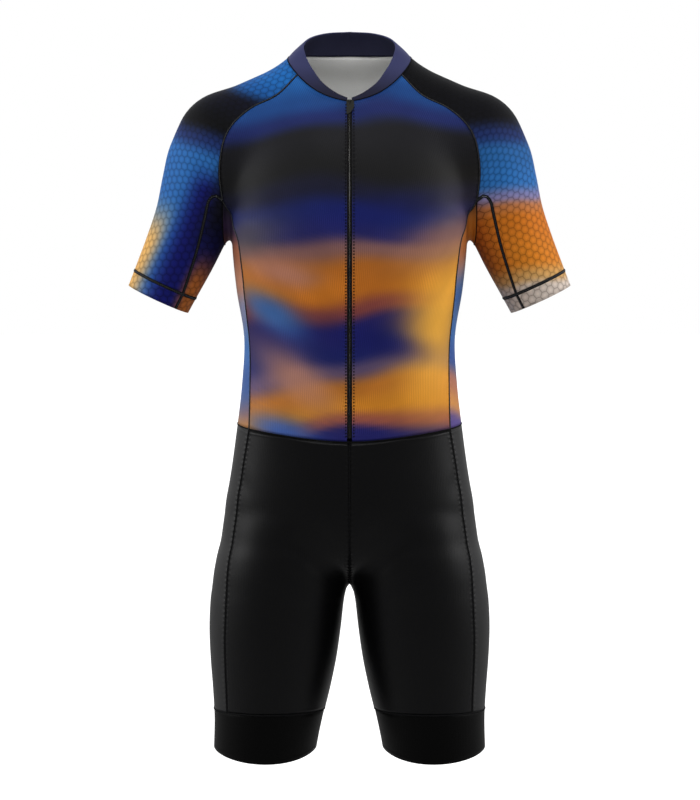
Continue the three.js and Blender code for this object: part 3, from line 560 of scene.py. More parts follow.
def ease(grid, passes, steps):
    """Moves each inner point to the middle of its neighbours and settles it, in the two colours of a chessboard."""
    inner = np.s_[1:-1, 1:-1]
    odd = np.indices(grid[inner].shape[:2]).sum(0) % 2 == 1
    for _ in range(passes):
        for colour in (odd, ~odd):
            middle = (grid[:-2, 1:-1] + grid[2:, 1:-1] + grid[1:-1, :-2] + grid[1:-1, 2:]) / 4
            grid[inner][colour] = settle(middle[colour], steps)
    return grid


def finer(grid):
    """FINE times as many cells through the same points, cubic down the columns and then along the rows."""
    for axis in (0, 1):
        g = np.moveaxis(grid, axis, 0)
        n = len(g)
        before, after = np.maximum(np.arange(n) - 1, 0), np.minimum(np.arange(n) + 1, n - 1)
        slope = (g[after] - g[before]) / (after - before)[:, None, None]
        place = np.arange((n - 1) * FINE + 1) / FINE
        i = np.minimum(place.astype(int), n - 2)
        t, up = (place - i)[:, None, None], g[i + 1] - g[i]
        g = g[i] + t * (slope[i] + t * (3 * up - 2 * slope[i] - slope[i + 1] + t * (slope[i] + slope[i + 1] - 2 * up)))
        grid = np.moveaxis(g, 0, axis)
    return grid.copy()


def panel(top, bottom, left, right):
    """The fine grid of a panel, with its four seams as edges."""
    edges = (top, bottom, left, right)
    coarse = settle(edge_blend(*(e[::FINE] for e in edges)), 8)
    coarse[0], coarse[-1], coarse[:, 0], coarse[:, -1] = (e[::FINE] for e in edges)
    grid = finer(ease(coarse, 60, 2))
    grid[0], grid[-1], grid[:, 0], grid[:, -1] = edges
    return ease(grid, 6, 1)


whole_front = join(raglan[FRONT], side_seam[FRONT])
whole_back = join(raglan[BACK], side_seam[BACK])
neck_back = join(neck_half_back, mirrored(neck_half_back)[::-1])
waist_whole_back = join(waist_back, mirrored(waist_back)[::-1])
waist_torso = np.vstack([waist_zip, waist_front[1:]])
grids = {
    "front": panel(neck_front, waist_torso, zip_edge, whole_front),
    "side": panel(armpit, waist_side, side_seam[FRONT], side_seam[BACK]),
    "back": panel(neck_back, waist_whole_back, whole_back, mirrored(whole_back)),
    "sleeve": panel(
        neck_shoulder, hem_outer, join(raglan[FRONT], sleeve_seam[FRONT]), join(raglan[BACK], sleeve_seam[BACK])
    ),
    "under_sleeve": panel(armpit[::-1], hem_under[::-1], sleeve_seam[BACK], sleeve_seam[FRONT]),
    "shorts_front": panel(waist_front, band_front, inner_edge[FRONT], leg_side_seam[FRONT]),
    "shorts_side": panel(waist_side, band_side, leg_side_seam[FRONT], leg_side_seam[BACK]),
    "shorts_back": panel(waist_back, band_back, leg_side_seam[BACK], inner_edge[BACK]),
}
hem_rows, band_rows = 5, 12
hem_downs = CUFF_DOWN - HEM_DEPTH * np.linspace(1, 0, hem_rows + 1)
grids["sleeve_hem"] = np.array([join(outer, under[::-1]) for outer, under in map(hem_ring, hem_downs)])
grids["leg_band"] = np.array(
    [join(*leg_ring({k: BAND_SEAM[k] + t * (LEG_HEM[k] - BAND_SEAM[k]) for k in WAIST}))
     for t in np.linspace(0, 1, band_rows + 1)]
)
print("panels:", {name: grid.shape[:2] for name, grid in grids.items()})

# %% [markdown]
# ## Creases
# The knit is stretched smooth, so it has only soft, shallow troughs: where the arm hangs and bunches the cloth at
# the armpit, where the thigh meets the trunk, and a few level pulls at the waist. Each is a line through two or
# three places as they are seen from the front or back. The cloth sinks along it by a bell curve of the distance,
# stands up a little on both sides, and fades out towards both ends. No two have the same length or depth.

# %% Crease table: side, then places as x, z pairs, width and depth
CREASES = [
    (FRONT, [(172, -176), (186, -158), (200, -140)], 9, 2.6),
    (FRONT, [(176, -186), (193, -176), (210, -163)], 6, 1.2),
    (FRONT, [(168, -170), (173, -150), (172, -128)], 7, 1.0),
    (FRONT, [(160, -196), (146, -184), (128, -178)], 8, 0.9),
    (FRONT, [(156, -212), (140, -206), (118, -205)], 6, 0.6),
    (FRONT, [(232, -296), (246, -292), (258, -284)], 4, 0.5),
    (FRONT, [(222, -262), (236, -262), (252, -254)], 5, 0.6),
    (FRONT, [(127, -468), (92, -476), (52, -484)], 5, 0.5),
    (FRONT, [(70, -462), (40, -468), (8, -470)], 4, 0.45),
    (FRONT, [(118, -442), (84, -452), (60, -455)], 5, 0.35),
    (FRONT, [(9, -686), (38, -668), (78, -634)], 12, 1.9),
    (FRONT, [(14, -700), (48, -694), (92, -672)], 10, 1.2),
    (FRONT, [(10, -668), (26, -640), (46, -606)], 9, 0.9),
    (FRONT, [(24, -724), (50, -730), (84, -722)], 9, 0.7),
    (FRONT, [(150, -540), (138, -566), (120, -590)], 10, 0.6),
    (BACK, [(170, -172), (182, -152), (192, -130)], 9, 2.2),
    (BACK, [(166, -186), (148, -176), (126, -172)], 9, 1.4),
    (BACK, [(158, -206), (136, -204), (110, -210)], 7, 0.9),
    (BACK, [(120, -410), (84, -424), (40, -428)], 9, 1.1),
    (BACK, [(112, -446), (70, -454), (22, -452)], 7, 0.8),
    (BACK, [(104, -384), (72, -392), (46, -392)], 7, 0.6),
    (BACK, [(16, -690), (56, -700), (112, -688)], 11, 2.2),
    (BACK, [(28, -716), (64, -724), (104, -716)], 9, 1.0),
    (BACK, [(34, -842), (66, -848), (110, -846)], 7, 0.6),
    (BACK, [(8, -640), (22, -610), (30, -570)], 10, 0.9),
]


CREASE_PLACES, FAR_SIDE = 40, 0.78


def crease_depth(points):
    """How far each point sinks: for each crease its depth, times a bell of the distance over the width
    with a low shoulder on both sides, times a fade along the crease that is uneven by a slow wave."""
    flat = points.reshape(-1, 3)
    total = np.zeros(len(flat))
    for k, (side, places, width, depth) in enumerate(CREASES):
        line = spaced(smooth_curve(seen_at(side, *np.array(places, float).T)), np.linspace(0, 1, CREASE_PLACES))
        for one, of_side in ((line, 1.0), (mirrored(line), FAR_SIDE + (1 - FAR_SIDE) * math.sin(2.4 * k))):
            near = np.flatnonzero((np.abs(flat - one.mean(0)) < np.ptp(one, axis=0) / 2 + 4 * width).all(1))
            if not len(near):
                continue
            away = np.linalg.norm(flat[near, None] - one[None], axis=-1)
            at, d = away.argmin(1) / (CREASE_PLACES - 1), away.min(1) / width
            fade = np.sin(np.pi * (0.06 + 0.88 * at)) ** 0.8 * (1 + 0.25 * np.sin(9 * at + 1.7 * k))
            total[near] += of_side * depth * fade * (np.exp(-(d**2)) - 0.35 * np.exp(-((d - 1.9) ** 2)))
    return total.reshape(points.shape[:-1])


for name, grid in grids.items():
    if name not in ("sleeve_hem", "leg_band"):
        sink = crease_depth(grid)
        grids[name] = grid - normal_at(grid) * sink[..., None]
        print(name, "deepest crease", round(float(sink.max()), 2), "mm")

# %% [markdown]
# ## The cut
# Each panel gets two pieces of information along with its points. The first is a map in real lengths: across from
# the middle column, and up from the lower edge. Patterns on the cloth, such as the honeycomb, read it, so they
# follow the cloth and not the room. The second is the distance to the nearest seam, where the sewing puckers the knit.
# The knit is cut smaller than it is worn, by about 8% across and 3% along, and that is the size of the paper pattern.

# %% Maps and cuts
STRETCH_ACROSS, STRETCH_ALONG = 1.08, 1.03


def runs(grid, axis):
    """Length along each row (axis 1) or column (axis 0), from its start to each point."""
    step = np.linalg.norm(np.diff(grid, axis=axis), axis=-1)
    start = np.zeros_like(np.take(step, [0], axis))
    return np.concatenate([start, np.cumsum(step, axis)], axis)


def cut_map(grid, middle=None, foot=0.0):
    """Metres across from the middle column along each row, and up from the lower edge along the middle column."""
    across, down = runs(grid, 1), runs(grid, 0)
    middle = grid.shape[1] // 2 if middle is None else middle
    u = across - across[:, middle, None]
    v = np.broadcast_to((down[-1, middle] - down[:, middle])[:, None], u.shape) + foot
    return np.stack([u, v], -1) * MM


def level_map(grid):
    """For a pointed panel: turned flat about its middle column, so that cells near the point keep their size."""
    middle = grid[:, grid.shape[1] // 2]
    up = unit((middle[0] - middle[-1])[None])[0]
    out = normal_at(middle[len(middle) // 2][None])[0]
    side = unit(np.cross(up, out)[None])[0]
    away = grid - middle[-1]
    return np.stack([away @ side, away @ up], -1) * MM


def to_seam(grid, ring=False):
    """Millimetres to the nearest edge, along rows and columns. A ring has only its upper and its lower edge."""
    across, down = runs(grid, 1), runs(grid, 0)
    ends = [] if ring else [across, across[:, -1:] - across]
    return np.minimum.reduce([*ends, down, down[-1:] - down])


def declare_cloth(grid, stretch_across=STRETCH_ACROSS, stretch_along=STRETCH_ALONG):
    """Works out how big the panel was cut, its longest row and column each less the stretch, and keeps nothing."""
    flat = runs(grid, 1)[:, -1].max() / stretch_across * MM, runs(grid, 0)[-1].max() / stretch_along * MM


# %% Making meshes
def grid_faces(rows, columns, ring=False, offset=0):
    """Four corners of each cell, so that the outside faces out. A ring's last column joins its first."""
    j, i = np.meshgrid(np.arange(rows - 1), np.arange(columns if ring else columns - 1), indexing="ij")
    right = (i + 1) % columns
    corners = [j * columns + i, (j + 1) * columns + i, (j + 1) * columns + right, j * columns + right]
    return np.stack([c.ravel() for c in corners], -1) + offset


def place_piece(name, mesh, finishes, body="suit"):
    """Gives a mesh its finishes and puts it in the scene, where it rides on a body of the CAD model."""
    for finish in finishes:
        mesh.materials.append(finish)
    piece = put_in_scene(name, mesh)
    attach(piece, body)
    return piece


def make_piece(name, points, faces, finishes):
    """A smooth mesh in metres from points in millimetres."""
    mesh = bpy.data.meshes.new(name)
    mesh.from_pydata((np.asarray(points).reshape(-1, 3) * MM).tolist(), [], [list(map(int, f)) for f in faces])
    mesh.shade_smooth()
    return place_piece(name, mesh, finishes)


def give_map(piece, flat):
    """Stores a map on the faces' corners. A ring's map has one column more than the ring, and the cells that
    close the ring end at that last column and not at the first."""
    corner = np.empty(len(piece.data.loops), np.int32)
    piece.data.loops.foreach_get("vertex_index", corner)
    columns = len(piece.data.vertices) // len(flat)
    row, at = np.divmod(corner, columns)
    if columns < flat.shape[1]:
        closing = np.arange(len(corner)) // 4 % columns == columns - 1
        at = np.where(closing & (at == 0), columns, at)
    piece.data.uv_layers.new(name="cut").data.foreach_set("uv", flat[row, at].astype(np.float32).ravel())


def give_attribute(piece, name, kind, key, values):
    attribute = piece.data.attributes.new(name, kind, "POINT")
    attribute.data.foreach_set(key, np.asarray(values, np.float32).ravel())


# %% [markdown]
# ## The printed colours
# The white knit is printed by heat transfer before it is cut, so the dye sits in the fibres and the inside stays pale.
# The print is a soft wash of blue, black, navy, mauve and orange, with no drawn edge anywhere. Ours has its own
# layout of like colours: a ladder of colours by height with slow waves round the body, and soft pools laid over it.
# The colours are worked out at each point of the panels and kept there as an attribute, with painted shade under the
# arms.

# %% Wash of the torso
def smooth_step(low, high, x):
    """0 below low, 1 above high, and 3t² - 2t³ between them."""
    t = np.clip((x - low) / (high - low), 0, 1)
    return t * t * (3 - 2 * t)


def ladder(rows, height):
    """A colour by height: each rung passes softly into the next."""
    places = np.array([r[0] for r in rows], float)
    colours = np.array([srgb(r[1]) for r in rows])
    i = np.clip(np.searchsorted(places, height) - 1, 0, len(rows) - 2)
    t = smooth_step(places[i], places[i + 1], height)[..., None]
    return colours[i] * (1 - t) + colours[i + 1] * t


def turn_of(p):
    """Degrees round the body from the front towards the wearer's left."""
    return np.degrees(np.arctan2(p[..., 0], -p[..., 1]))


def lay_pools(colour, turn, z, pools):
    """Lays soft ovals over a wash. Each fades as e to the minus its squared distance to the power 1.2."""
    for at_turn, at_z, half_turn, half_z, lean, code, strength in pools:
        du = ((turn - at_turn + 180) % 360 - 180) / half_turn
        dv = (z - at_z - lean * du) / half_z
        mask = strength * np.exp(-((du**2 + dv**2) ** 1.2))
        colour = colour + (srgb(code) - colour) * mask[..., None]
    return colour


FRONT_LADDER = [
    (20, "1b5596"), (56, "17407c"), (84, "19245a"), (106, "17171b"), (154, "151516"), (182, "17182c"),
    (208, "16205e"), (232, "22225c"), (252, "7e5854"), (276, "ad631f"), (304, "b4661c"), (330, "7a3c38"),
    (352, "1c1a5a"), (390, "151c5c"), (414, "584866"), (440, "b06a24"), (470, "c27a20"), (490, "8a4a3e"),
    (506, "1a1b5c"),
]
FRONT_POOLS = [
    (60, -342, 25, 112, 18, "eaa93a", 0.95),
    (54, -236, 26, 30, 16, "9a6a5c", 0.6),
    (-62, -232, 26, 30, 16, "4a4448", 0.8),
    (-50, -330, 20, 26, -20, "35609c", 0.95),
    (-40, -276, 24, 20, -14, "a87468", 0.8),
    (-36, -418, 26, 34, -30, "b07a62", 0.8),
    (-46, -486, 24, 20, -10, "34549a", 0.95),
    (18, -366, 34, 20, -16, "11155a", 0.85),
    (12, -196, 40, 22, 12, "141c66", 0.6),
    (-16, -300, 16, 16, 10, "c4701a", 0.7),
    (150, -210, 60, 50, 20, "151516", 0.8),
    (-150, -360, 60, 44, -16, "c9802b", 0.6),
    (180, -120, 60, 40, 0, "17245e", 0.6),
]
SIDE_LADDER = [
    (180, "17151f"), (220, "33243f"), (258, "9a5f44"), (300, "bd8468"), (330, "858aac"), (372, "3a68a6"),
    (410, "2b498a"), (440, "a76a54"), (470, "bd8044"), (490, "524480"),
]
SIDE_POOLS = [
    (90, -215, 40, 34, 0, "c2701c", 0.9),
    (90, -300, 40, 34, 10, "28589c", 0.9),
    (-90, -440, 50, 36, 8, "3c5a92", 0.9),
]


def torso_wash(p, side_panel=False):
    """The ladder by the height below the shoulders, with slow waves round the body, and the pools over it."""
    turn, z = turn_of(p), p[..., 2]
    t = np.radians(turn)
    wave = 15 * np.sin(t + 0.9) + 9 * np.sin(2 * t - z / 70 + 0.4) + 5 * np.sin(4 * t + z / 48)
    rows, pools = (SIDE_LADDER, SIDE_POOLS) if side_panel else (FRONT_LADDER, FRONT_POOLS)
    return lay_pools(ladder(rows, -z + wave), turn, z, pools)


# %% Wash of the sleeves
def sleeve_wash(p, left):
    """By the distance down the arm, leaning with the height on the outside; painted shade darkens it towards the
    armpit.
    """
    side = np.abs(p[..., 0])
    dx, dy, dz = side - ARM_TOP[0], p[..., 1] - ARM_TOP[1], p[..., 2] - ARM_TOP[2]
    down = dx * math.sin(ARM_ANGLE) - dz * math.cos(ARM_ANGLE)
    outer = (dx * math.cos(ARM_ANGLE) + dz * math.sin(ARM_ANGLE)) / 50
    if left:
        rows = [(-95, "040407"), (-38, "06060b"), (-10, "182858"), (14, "21568f"), (58, "2763a4"), (78, "74709a"),
                (92, "ad6a3c"), (108, "bd691a"), (168, "c2721e"), (192, "bd9156"), (206, "bfb1a6"), (240, "c2b6ac")]
        colour = ladder(rows, down - 15 * outer + 4 * np.sin(dy / 16))
        # painted shade: the inner side of the arm, from below the armpit towards the cuff, is darkened to a burnt
        # orange
        shade = 0.55 * smooth_step(-0.1, -1.0, outer) * smooth_step(210, 150, down) * smooth_step(40, 90, down)
        return colour + (srgb("8a3f1d") - colour) * shade[..., None]
    rows = [(-110, "185a9e"), (-88, "174f90"), (-64, "090a18"), (-18, "060609"), (4, "182858"), (28, "265e9e"),
            (150, "235a9c"), (200, "285a98"), (240, "567298")]
    colour = ladder(rows, down + 5 * np.sin(dy / 20))
    # painted shade: navy laid over the inner front of the arm below the armpit
    navy = smooth_step(0.35, -0.45, outer + dy / 140) * smooth_step(28, 70, down)
    colour = colour + (srgb("10125c") - colour) * (0.95 * navy)[..., None]
    # painted shade: near black on the inner side just below the armpit, where arm and body meet
    dark = smooth_step(0.15, -0.6, outer) * smooth_step(175, 70, down) * smooth_step(0, 30, down)
    colour = colour + (srgb("101016") - colour) * dark[..., None]
    sun = smooth_step(0.5, 0.95, outer - dy / 300) * smooth_step(88, 165, down)
    colour = colour + (srgb("d9a356") - colour) * (0.95 * sun)[..., None]
    inside = smooth_step(-0.3, -0.75, outer) * smooth_step(128, 192, down)
    return colour + (srgb("b5672a") - colour) * inside[..., None]


# %% [markdown]
# ## Finishes
# Each finish starts from one principled surface. All patterns have real sizes in metres.

# %% A finish
def new_finish(name, **sockets):
    """A material with one principled surface, whose sockets are set by name. Underscores stand for spaces."""
    material = bpy.data.materials.new(name)
    material.use_nodes = True
    shader = material.node_tree.nodes["Principled BSDF"]
    for key, value in sockets.items():
        shader.inputs[key.replace("_", " ")].default_value = value
    return material, material.node_tree, shader


def wave_scale(pitch):
    """A wave texture has 20 / 2π bands in a unit at scale 1, so this scale gives it the pitch in metres."""
    return 2 * math.pi / 20 / pitch


# %% [markdown]
# ### Printed jersey
# Polyester and elastane jersey, knitted on a fine circular machine and printed by heat transfer. It is matt with
# a soft sheen at grazing angles. Its wales are only 0.6 mm apart, too fine for this picture, so they are drawn
# 2.7 mm apart as faint uneven streaks. Near seams the knit puckers every 7 mm or so.

# %% Printed jersey
LOOP, WALE, PUCKER = 0.0012, 0.0027, 0.007
EASED = {"interpolation_type": "SMOOTHSTEP"}  # a range that starts and ends gently


def knit_streaks(tree, flat, pitch, turn=0.0):
    """Faint uneven lines along the knit: bands across the map, times a strength that drifts from place to place."""
    turned = add(tree, "ShaderNodeMapping", {"Vector": flat, "Rotation": (0, 0, turn)})
    bands = add(
        tree, "ShaderNodeTexWave",
        {"Vector": turned.outputs[0], "Scale": wave_scale(pitch), "Distortion": 1.1, "Detail": 2.0,
         "Detail Scale": 0.35},
        wave_type="BANDS", bands_direction="X", wave_profile="SIN",
    )
    drift = add(tree, "ShaderNodeTexNoise", {"Vector": flat, "Scale": 14.0, "Detail": 2.0})
    strength = add(tree, "ShaderNodeMapRange", {0: drift.outputs[0], 1: 0.38, 2: 0.68, 3: 0.1, 4: 1.0}).outputs[0]
    return add(tree, "ShaderNodeMath", {0: bands.outputs["Fac"], 1: strength}, operation="MULTIPLY").outputs[0]


def pucker_height(tree, flat):
    """Small waves across the seams, which fade from 1 mm to 9 mm away from them."""
    seam_far = add(tree, "ShaderNodeAttribute", attribute_name="to_seam")
    near = add(tree, "ShaderNodeMapRange", {0: seam_far.outputs["Fac"], 1: 1.0, 2: 9.0, 3: 1.0, 4: 0.0}, **EASED)
    ripple = add(
        tree, "ShaderNodeTexWave",
        {"Vector": flat, "Scale": wave_scale(PUCKER), "Distortion": 2.6, "Detail": 1.0, "Detail Scale": 0.5},
        wave_type="BANDS", bands_direction="Y",
    )
    return add(tree, "ShaderNodeMath", {0: ripple.outputs["Fac"], 1: near.outputs[0]}, operation="MULTIPLY").outputs[0]


def knit_relief(tree, shader, streaks, flat):
    """Bump from three heights: loops of the knit, streaks and puckers."""
    place = add(tree, "ShaderNodeTexCoord").outputs["Object"]
    fine = add(tree, "ShaderNodeTexNoise", {"Vector": place, "Scale": 1 / LOOP, "Detail": 1.0}).outputs[0]
    puckers, below = pucker_height(tree, flat), {}
    for height, strength, deep in ((fine, 0.35, 0.0003), (streaks, 0.3, 0.0003), (puckers, 0.6, 0.0009)):
        bump = add(tree, "ShaderNodeBump", {"Height": height, "Strength": strength, "Distance": deep, **below})
        below = {"Normal": bump.outputs[0]}
    tree.links.new(bump.outputs[0], shader.inputs["Normal"])


def shaded(tree, colour, factor, low, high):
    """A colour times a grey that runs from low to high with the factor."""
    grey = add(tree, "ShaderNodeMapRange", {0: factor, 3: low, 4: high})
    return add(tree, "ShaderNodeVectorMath", {0: colour, 1: grey.outputs[0]}, operation="MULTIPLY").outputs[0]


def printed_jersey():
    material, tree, shader = new_finish(
        "printed_polyester_jersey", Roughness=0.6, Sheen_Weight=0.02, Sheen_Roughness=0.4, Sheen_Tint=rgba("b9c4dc"),
        Specular_IOR_Level=0.11,
    )
    flat = add(tree, "ShaderNodeUVMap", uv_map="cut").outputs[0]
    colour_and_painted_light = add(tree, "ShaderNodeAttribute", attribute_name="print").outputs["Color"]
    faint = knit_streaks(tree, flat, WALE)
    tree.links.new(shaded(tree, colour_and_painted_light, faint, 0.86, 1.26), shader.inputs["Base Color"])
    knit_relief(tree, shader, faint, flat)
    return material


# %% [markdown]
# ### Honeycomb sleeve knit
# The sleeves are printed with a net of hexagons, 10.6 mm from side to side, whose rows lean 22 degrees from the cuff.
# A hexagon net is two square nets that are half a step apart: each place belongs to the nearer centre, and the
# distance to the cell's edge is the larger of its two slanted measures. Each cell is a little lighter in its middle.

# %% Honeycomb
CELL, HONEYCOMB_TURN = 0.0106, math.radians(-22)
YARN, YARN_TURN = 0.0021, math.radians(38)


def honeycomb(tree, flat):
    """From 0 in the middle of a cell to 0.5 on its outline."""
    step = (1.0, math.sqrt(3), 0.0)
    half = tuple(s / 2 for s in step)
    turned = add(
        tree, "ShaderNodeMapping",
        {"Vector": flat, "Rotation": (0, 0, HONEYCOMB_TURN), "Scale": (1 / CELL, 1 / CELL, 1)}, vector_type="POINT",
    ).outputs[0]
    low = tuple(-h for h in half)
    shifted = add(tree, "ShaderNodeVectorMath", {0: turned, 1: half}, operation="SUBTRACT").outputs[0]
    nets = [add(tree, "ShaderNodeVectorMath", {0: p, 1: half, 2: low}, operation="WRAP").outputs[0]
            for p in (turned, shifted)]
    far = [add(tree, "ShaderNodeVectorMath", {0: p}, operation="LENGTH").outputs["Value"] for p in nets]
    nearer = add(tree, "ShaderNodeMath", {0: far[0], 1: far[1]}, operation="LESS_THAN").outputs[0]
    own = add(tree, "ShaderNodeMix", {0: nearer, 4: nets[1], 5: nets[0]}, data_type="VECTOR").outputs[1]
    size = add(tree, "ShaderNodeVectorMath", {0: own}, operation="ABSOLUTE").outputs[0]
    slanted = add(tree, "ShaderNodeVectorMath", {0: size, 1: (0.5, math.sqrt(3) / 2, 0)}, operation="DOT_PRODUCT")
    level = add(tree, "ShaderNodeSeparateXYZ", {0: size}).outputs[0]
    return add(tree, "ShaderNodeMath", {0: slanted.outputs["Value"], 1: level}, operation="MAXIMUM").outputs[0]


def honeycomb_knit():
    material, tree, shader = new_finish(
        "honeycomb_printed_knit", Roughness=0.64, Sheen_Weight=0.02, Sheen_Roughness=0.4, Sheen_Tint=rgba("c2cde2"),
        Specular_IOR_Level=0.07,
    )
    flat = add(tree, "ShaderNodeUVMap", uv_map="cut").outputs[0]
    colour_and_painted_light = add(tree, "ShaderNodeAttribute", attribute_name="print").outputs["Color"]
    cell = honeycomb(tree, flat)
    outline = add(tree, "ShaderNodeMapRange", {0: cell, 1: 0.425, 2: 0.48, 3: 0.0, 4: 1.0}, **EASED).outputs[0]
    light = add(tree, "ShaderNodeMapRange", {0: cell, 1: 0.08, 2: 0.42, 3: 1.0, 4: 0.0}, **EASED).outputs[0]
    lit = shaded(tree, colour_and_painted_light, light, 0.92, 1.16)
    net = shaded(tree, lit, outline, 1.0, 0.5)
    dark = add(tree, "ShaderNodeMix", {0: outline, 6: lit, 7: net}, data_type="RGBA").outputs[2]
    faint = knit_streaks(tree, flat, YARN, YARN_TURN)
    tree.links.new(shaded(tree, dark, faint, 0.92, 1.12), shader.inputs["Base Color"])
    sunk = add(tree, "ShaderNodeMath", {0: faint, 1: outline}, operation="SUBTRACT").outputs[0]
    knit_relief(tree, shader, sunk, flat)
    return material


# %% [markdown]
# ### Black satin knit, collar knit and trims
# The shorts are a denser, calendered black knit: smoother, so it shows soft grey lights on the turned sides.
# The side panels have a fine slanted rib and a painted highlight. The collar is navy satin knit. Thread, tape, coil and
# pull are near black.

# %% Plain knits
RIB, RIB_TURN = 0.0022, math.radians(-52)


def satin_knit(name, code, roughness, tint, sheen, gloss, ribbed=False, with_painted_sheen=False):
    """A knit coloured through in one colour, with its fine streaks upright or, for a rib, slanted. With a painted
    sheen, its colour is read from the print attribute.
    """
    material, tree, shader = new_finish(
        name, Base_Color=rgba(code), Roughness=roughness, Sheen_Weight=sheen, Sheen_Roughness=0.35,
        Sheen_Tint=rgba(tint), Specular_IOR_Level=gloss,
    )
    flat = add(tree, "ShaderNodeUVMap", uv_map="cut").outputs[0]
    faint = knit_streaks(tree, flat, RIB, RIB_TURN) if ribbed else knit_streaks(tree, flat, WALE)
    colour_and_painted_light = add(tree, "ShaderNodeAttribute", attribute_name="print").outputs["Color"] if with_painted_sheen else rgba(code)[:3]
    tree.links.new(shaded(tree, colour_and_painted_light, faint, 0.88, 1.5 if ribbed else 1.18), shader.inputs["Base Color"])
    knit_relief(tree, shader, faint, flat)
    return material


def plain_trim(name, code, roughness, grain, depth, metallic=0.0, gloss=0.15, detail=2.0, shade=(0.8, 1.2), rise=0.5):
    """One colour with a fine grain: the wrong side of a knit, thread, tape, coil, enamel or moulded rubber."""
    material, tree, shader = new_finish(
        name, Base_Color=rgba(code), Roughness=roughness, Metallic=metallic, Specular_IOR_Level=gloss
    )
    place = add(tree, "ShaderNodeTexCoord").outputs["Object"]
    noise = add(tree, "ShaderNodeTexNoise", {"Vector": place, "Scale": 1 / grain, "Detail": detail}).outputs[0]
    tree.links.new(shaded(tree, rgba(code)[:3], noise, *shade), shader.inputs["Base Color"])
    bump = add(tree, "ShaderNodeBump", {"Height": noise, "Strength": rise, "Distance": depth})
    tree.links.new(bump.outputs[0], shader.inputs["Normal"])
    return material


# Matt jersey whose dye drifts softly, and the same knit under a net of hexagons
PRINTED, HONEYCOMB = printed_jersey(), honeycomb_knit()
# The unprinted wrong side of both: pale grey-white loops, quite matt
INSIDE = plain_trim("unprinted_jersey_inside", "fdfdfb", 0.8, 1 / 700, 0.0003, gloss=0.1, detail=1.0,
                    shade=(0.94, 1.1), rise=0.4)
# Pressed smooth, so deep black with a soft grey light on the turned sides
BLACK = satin_knit("black_satin_knit", "030304", 0.43, "8f9298", 0.0, 0.12)
# A lighter charcoal beside it: a painted highlight for the light that its slanted ribs catch from the side lamps
BLACK_RIB = satin_knit("black_ribbed_side_knit", "121213", 0.5, "a2a4a8", 0.03, 0.18, ribbed=True)
# The unpressed wrong side of both, quite dull
BLACK_INSIDE = plain_trim("black_knit_inside", "131314", 0.8, 0.0015, 0.0003)
# The darkest cloth of all: dense and matt, so the bands read apart from the legs
GRIP = satin_knit("black_grip_band_knit", "020202", 0.46, "85888c", 0.0, 0.05)
# Navy that shimmers a little mauve at the sides, with a painted sheen that lightens it from the dark tips to the sides
COLLAR = satin_knit("navy_satin_collar_knit", "2b2c4e", 0.62, "7f80a8", 0.13, 0.12, with_painted_sheen=True)
# The shaded inside of the collar, without the shimmer
COLLAR_LINING = plain_trim("navy_collar_lining", "222338", 0.7, 0.0015, 0.0003)
# Fluffy black lines that swallow light
THREAD = plain_trim("black_textured_polyester_thread", "0c0c0d", 0.8, 0.0006, 0.0002, gloss=0.08)
# Small lighter steps on the black seams of the sleeves
GREY_THREAD = plain_trim("grey_textured_polyester_thread", "45474a", 0.6, 0.0006, 0.0002)
# A dull black ground behind the coil
TAPE = plain_trim("black_woven_zip_tape", "0d0d0e", 0.75, 0.0007, 0.0002)
# Drawn nylon: tiny grey glints down the middle of the zip
COIL = plain_trim("dark_grey_nylon_coil", "222220", 0.45, 0.0008, 0.0001, gloss=0.18)
# Cast, then stove-enamelled: smooth, with a small sharp light
ENAMEL = plain_trim("dark_enamelled_zinc", "1a1b17", 0.32, 0.003, 0.00005, metallic=0.4, gloss=0.5)
# Moulded: a soft dull olive black against the metal
RUBBER = plain_trim("moulded_dark_rubber", "14150f", 0.55, 0.001, 0.00008, gloss=0.2)
print("finishes:", len(bpy.data.materials))

# %% [markdown]
# ## The cloth pieces
# Each panel's grid becomes a thin shell: the points are the outer face, and a Solidify modifier adds the inner
# face with its own finish. The wearer's right half is the left one mirrored, with its columns the other way round.

# %% Shells
CLOTH, HEAVY = 0.0009, 0.0016


def shell(name, grid, outside, inside, slot, thickness=CLOTH, ring=False, middle=None, foot=0.0, wash=None,
          level=False):
    """A panel as a thin shell over its grid, with its map, its print and its distance to the seams."""
    columns = grid.shape[1] - ring
    points = grid[:, :columns]
    piece = make_piece(name + "_cloth", points, grid_faces(len(grid), columns, ring), (outside, inside))
    give_map(piece, level_map(grid) if level else cut_map(grid, middle, foot))
    give_attribute(piece, "to_seam", "FLOAT", "value", to_seam(grid, ring)[:, :columns])
    if wash is not None:
        give_attribute(piece, "print", "FLOAT_COLOR", "color", to_light(wash(points)))
    wall = piece.modifiers.new("cloth", "SOLIDIFY")
    wall.thickness, wall.offset, wall.material_offset = thickness, -1, 1
    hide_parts(name)
    declare_cloth(grid)
    return piece


def flipped(grid):
    return mirrored(grid)[:, ::-1]


def both(name, *args, wash=None, **kwargs):
    """The left piece and its mirror image, each with its own wash."""
    for tail, grid, left in (("_left", grids[name], True), ("_right", flipped(grids[name]), False)):
        shell(name + tail, grid, *args, wash=None if wash is None else (lambda p, left=left: wash(p, left)), **kwargs)


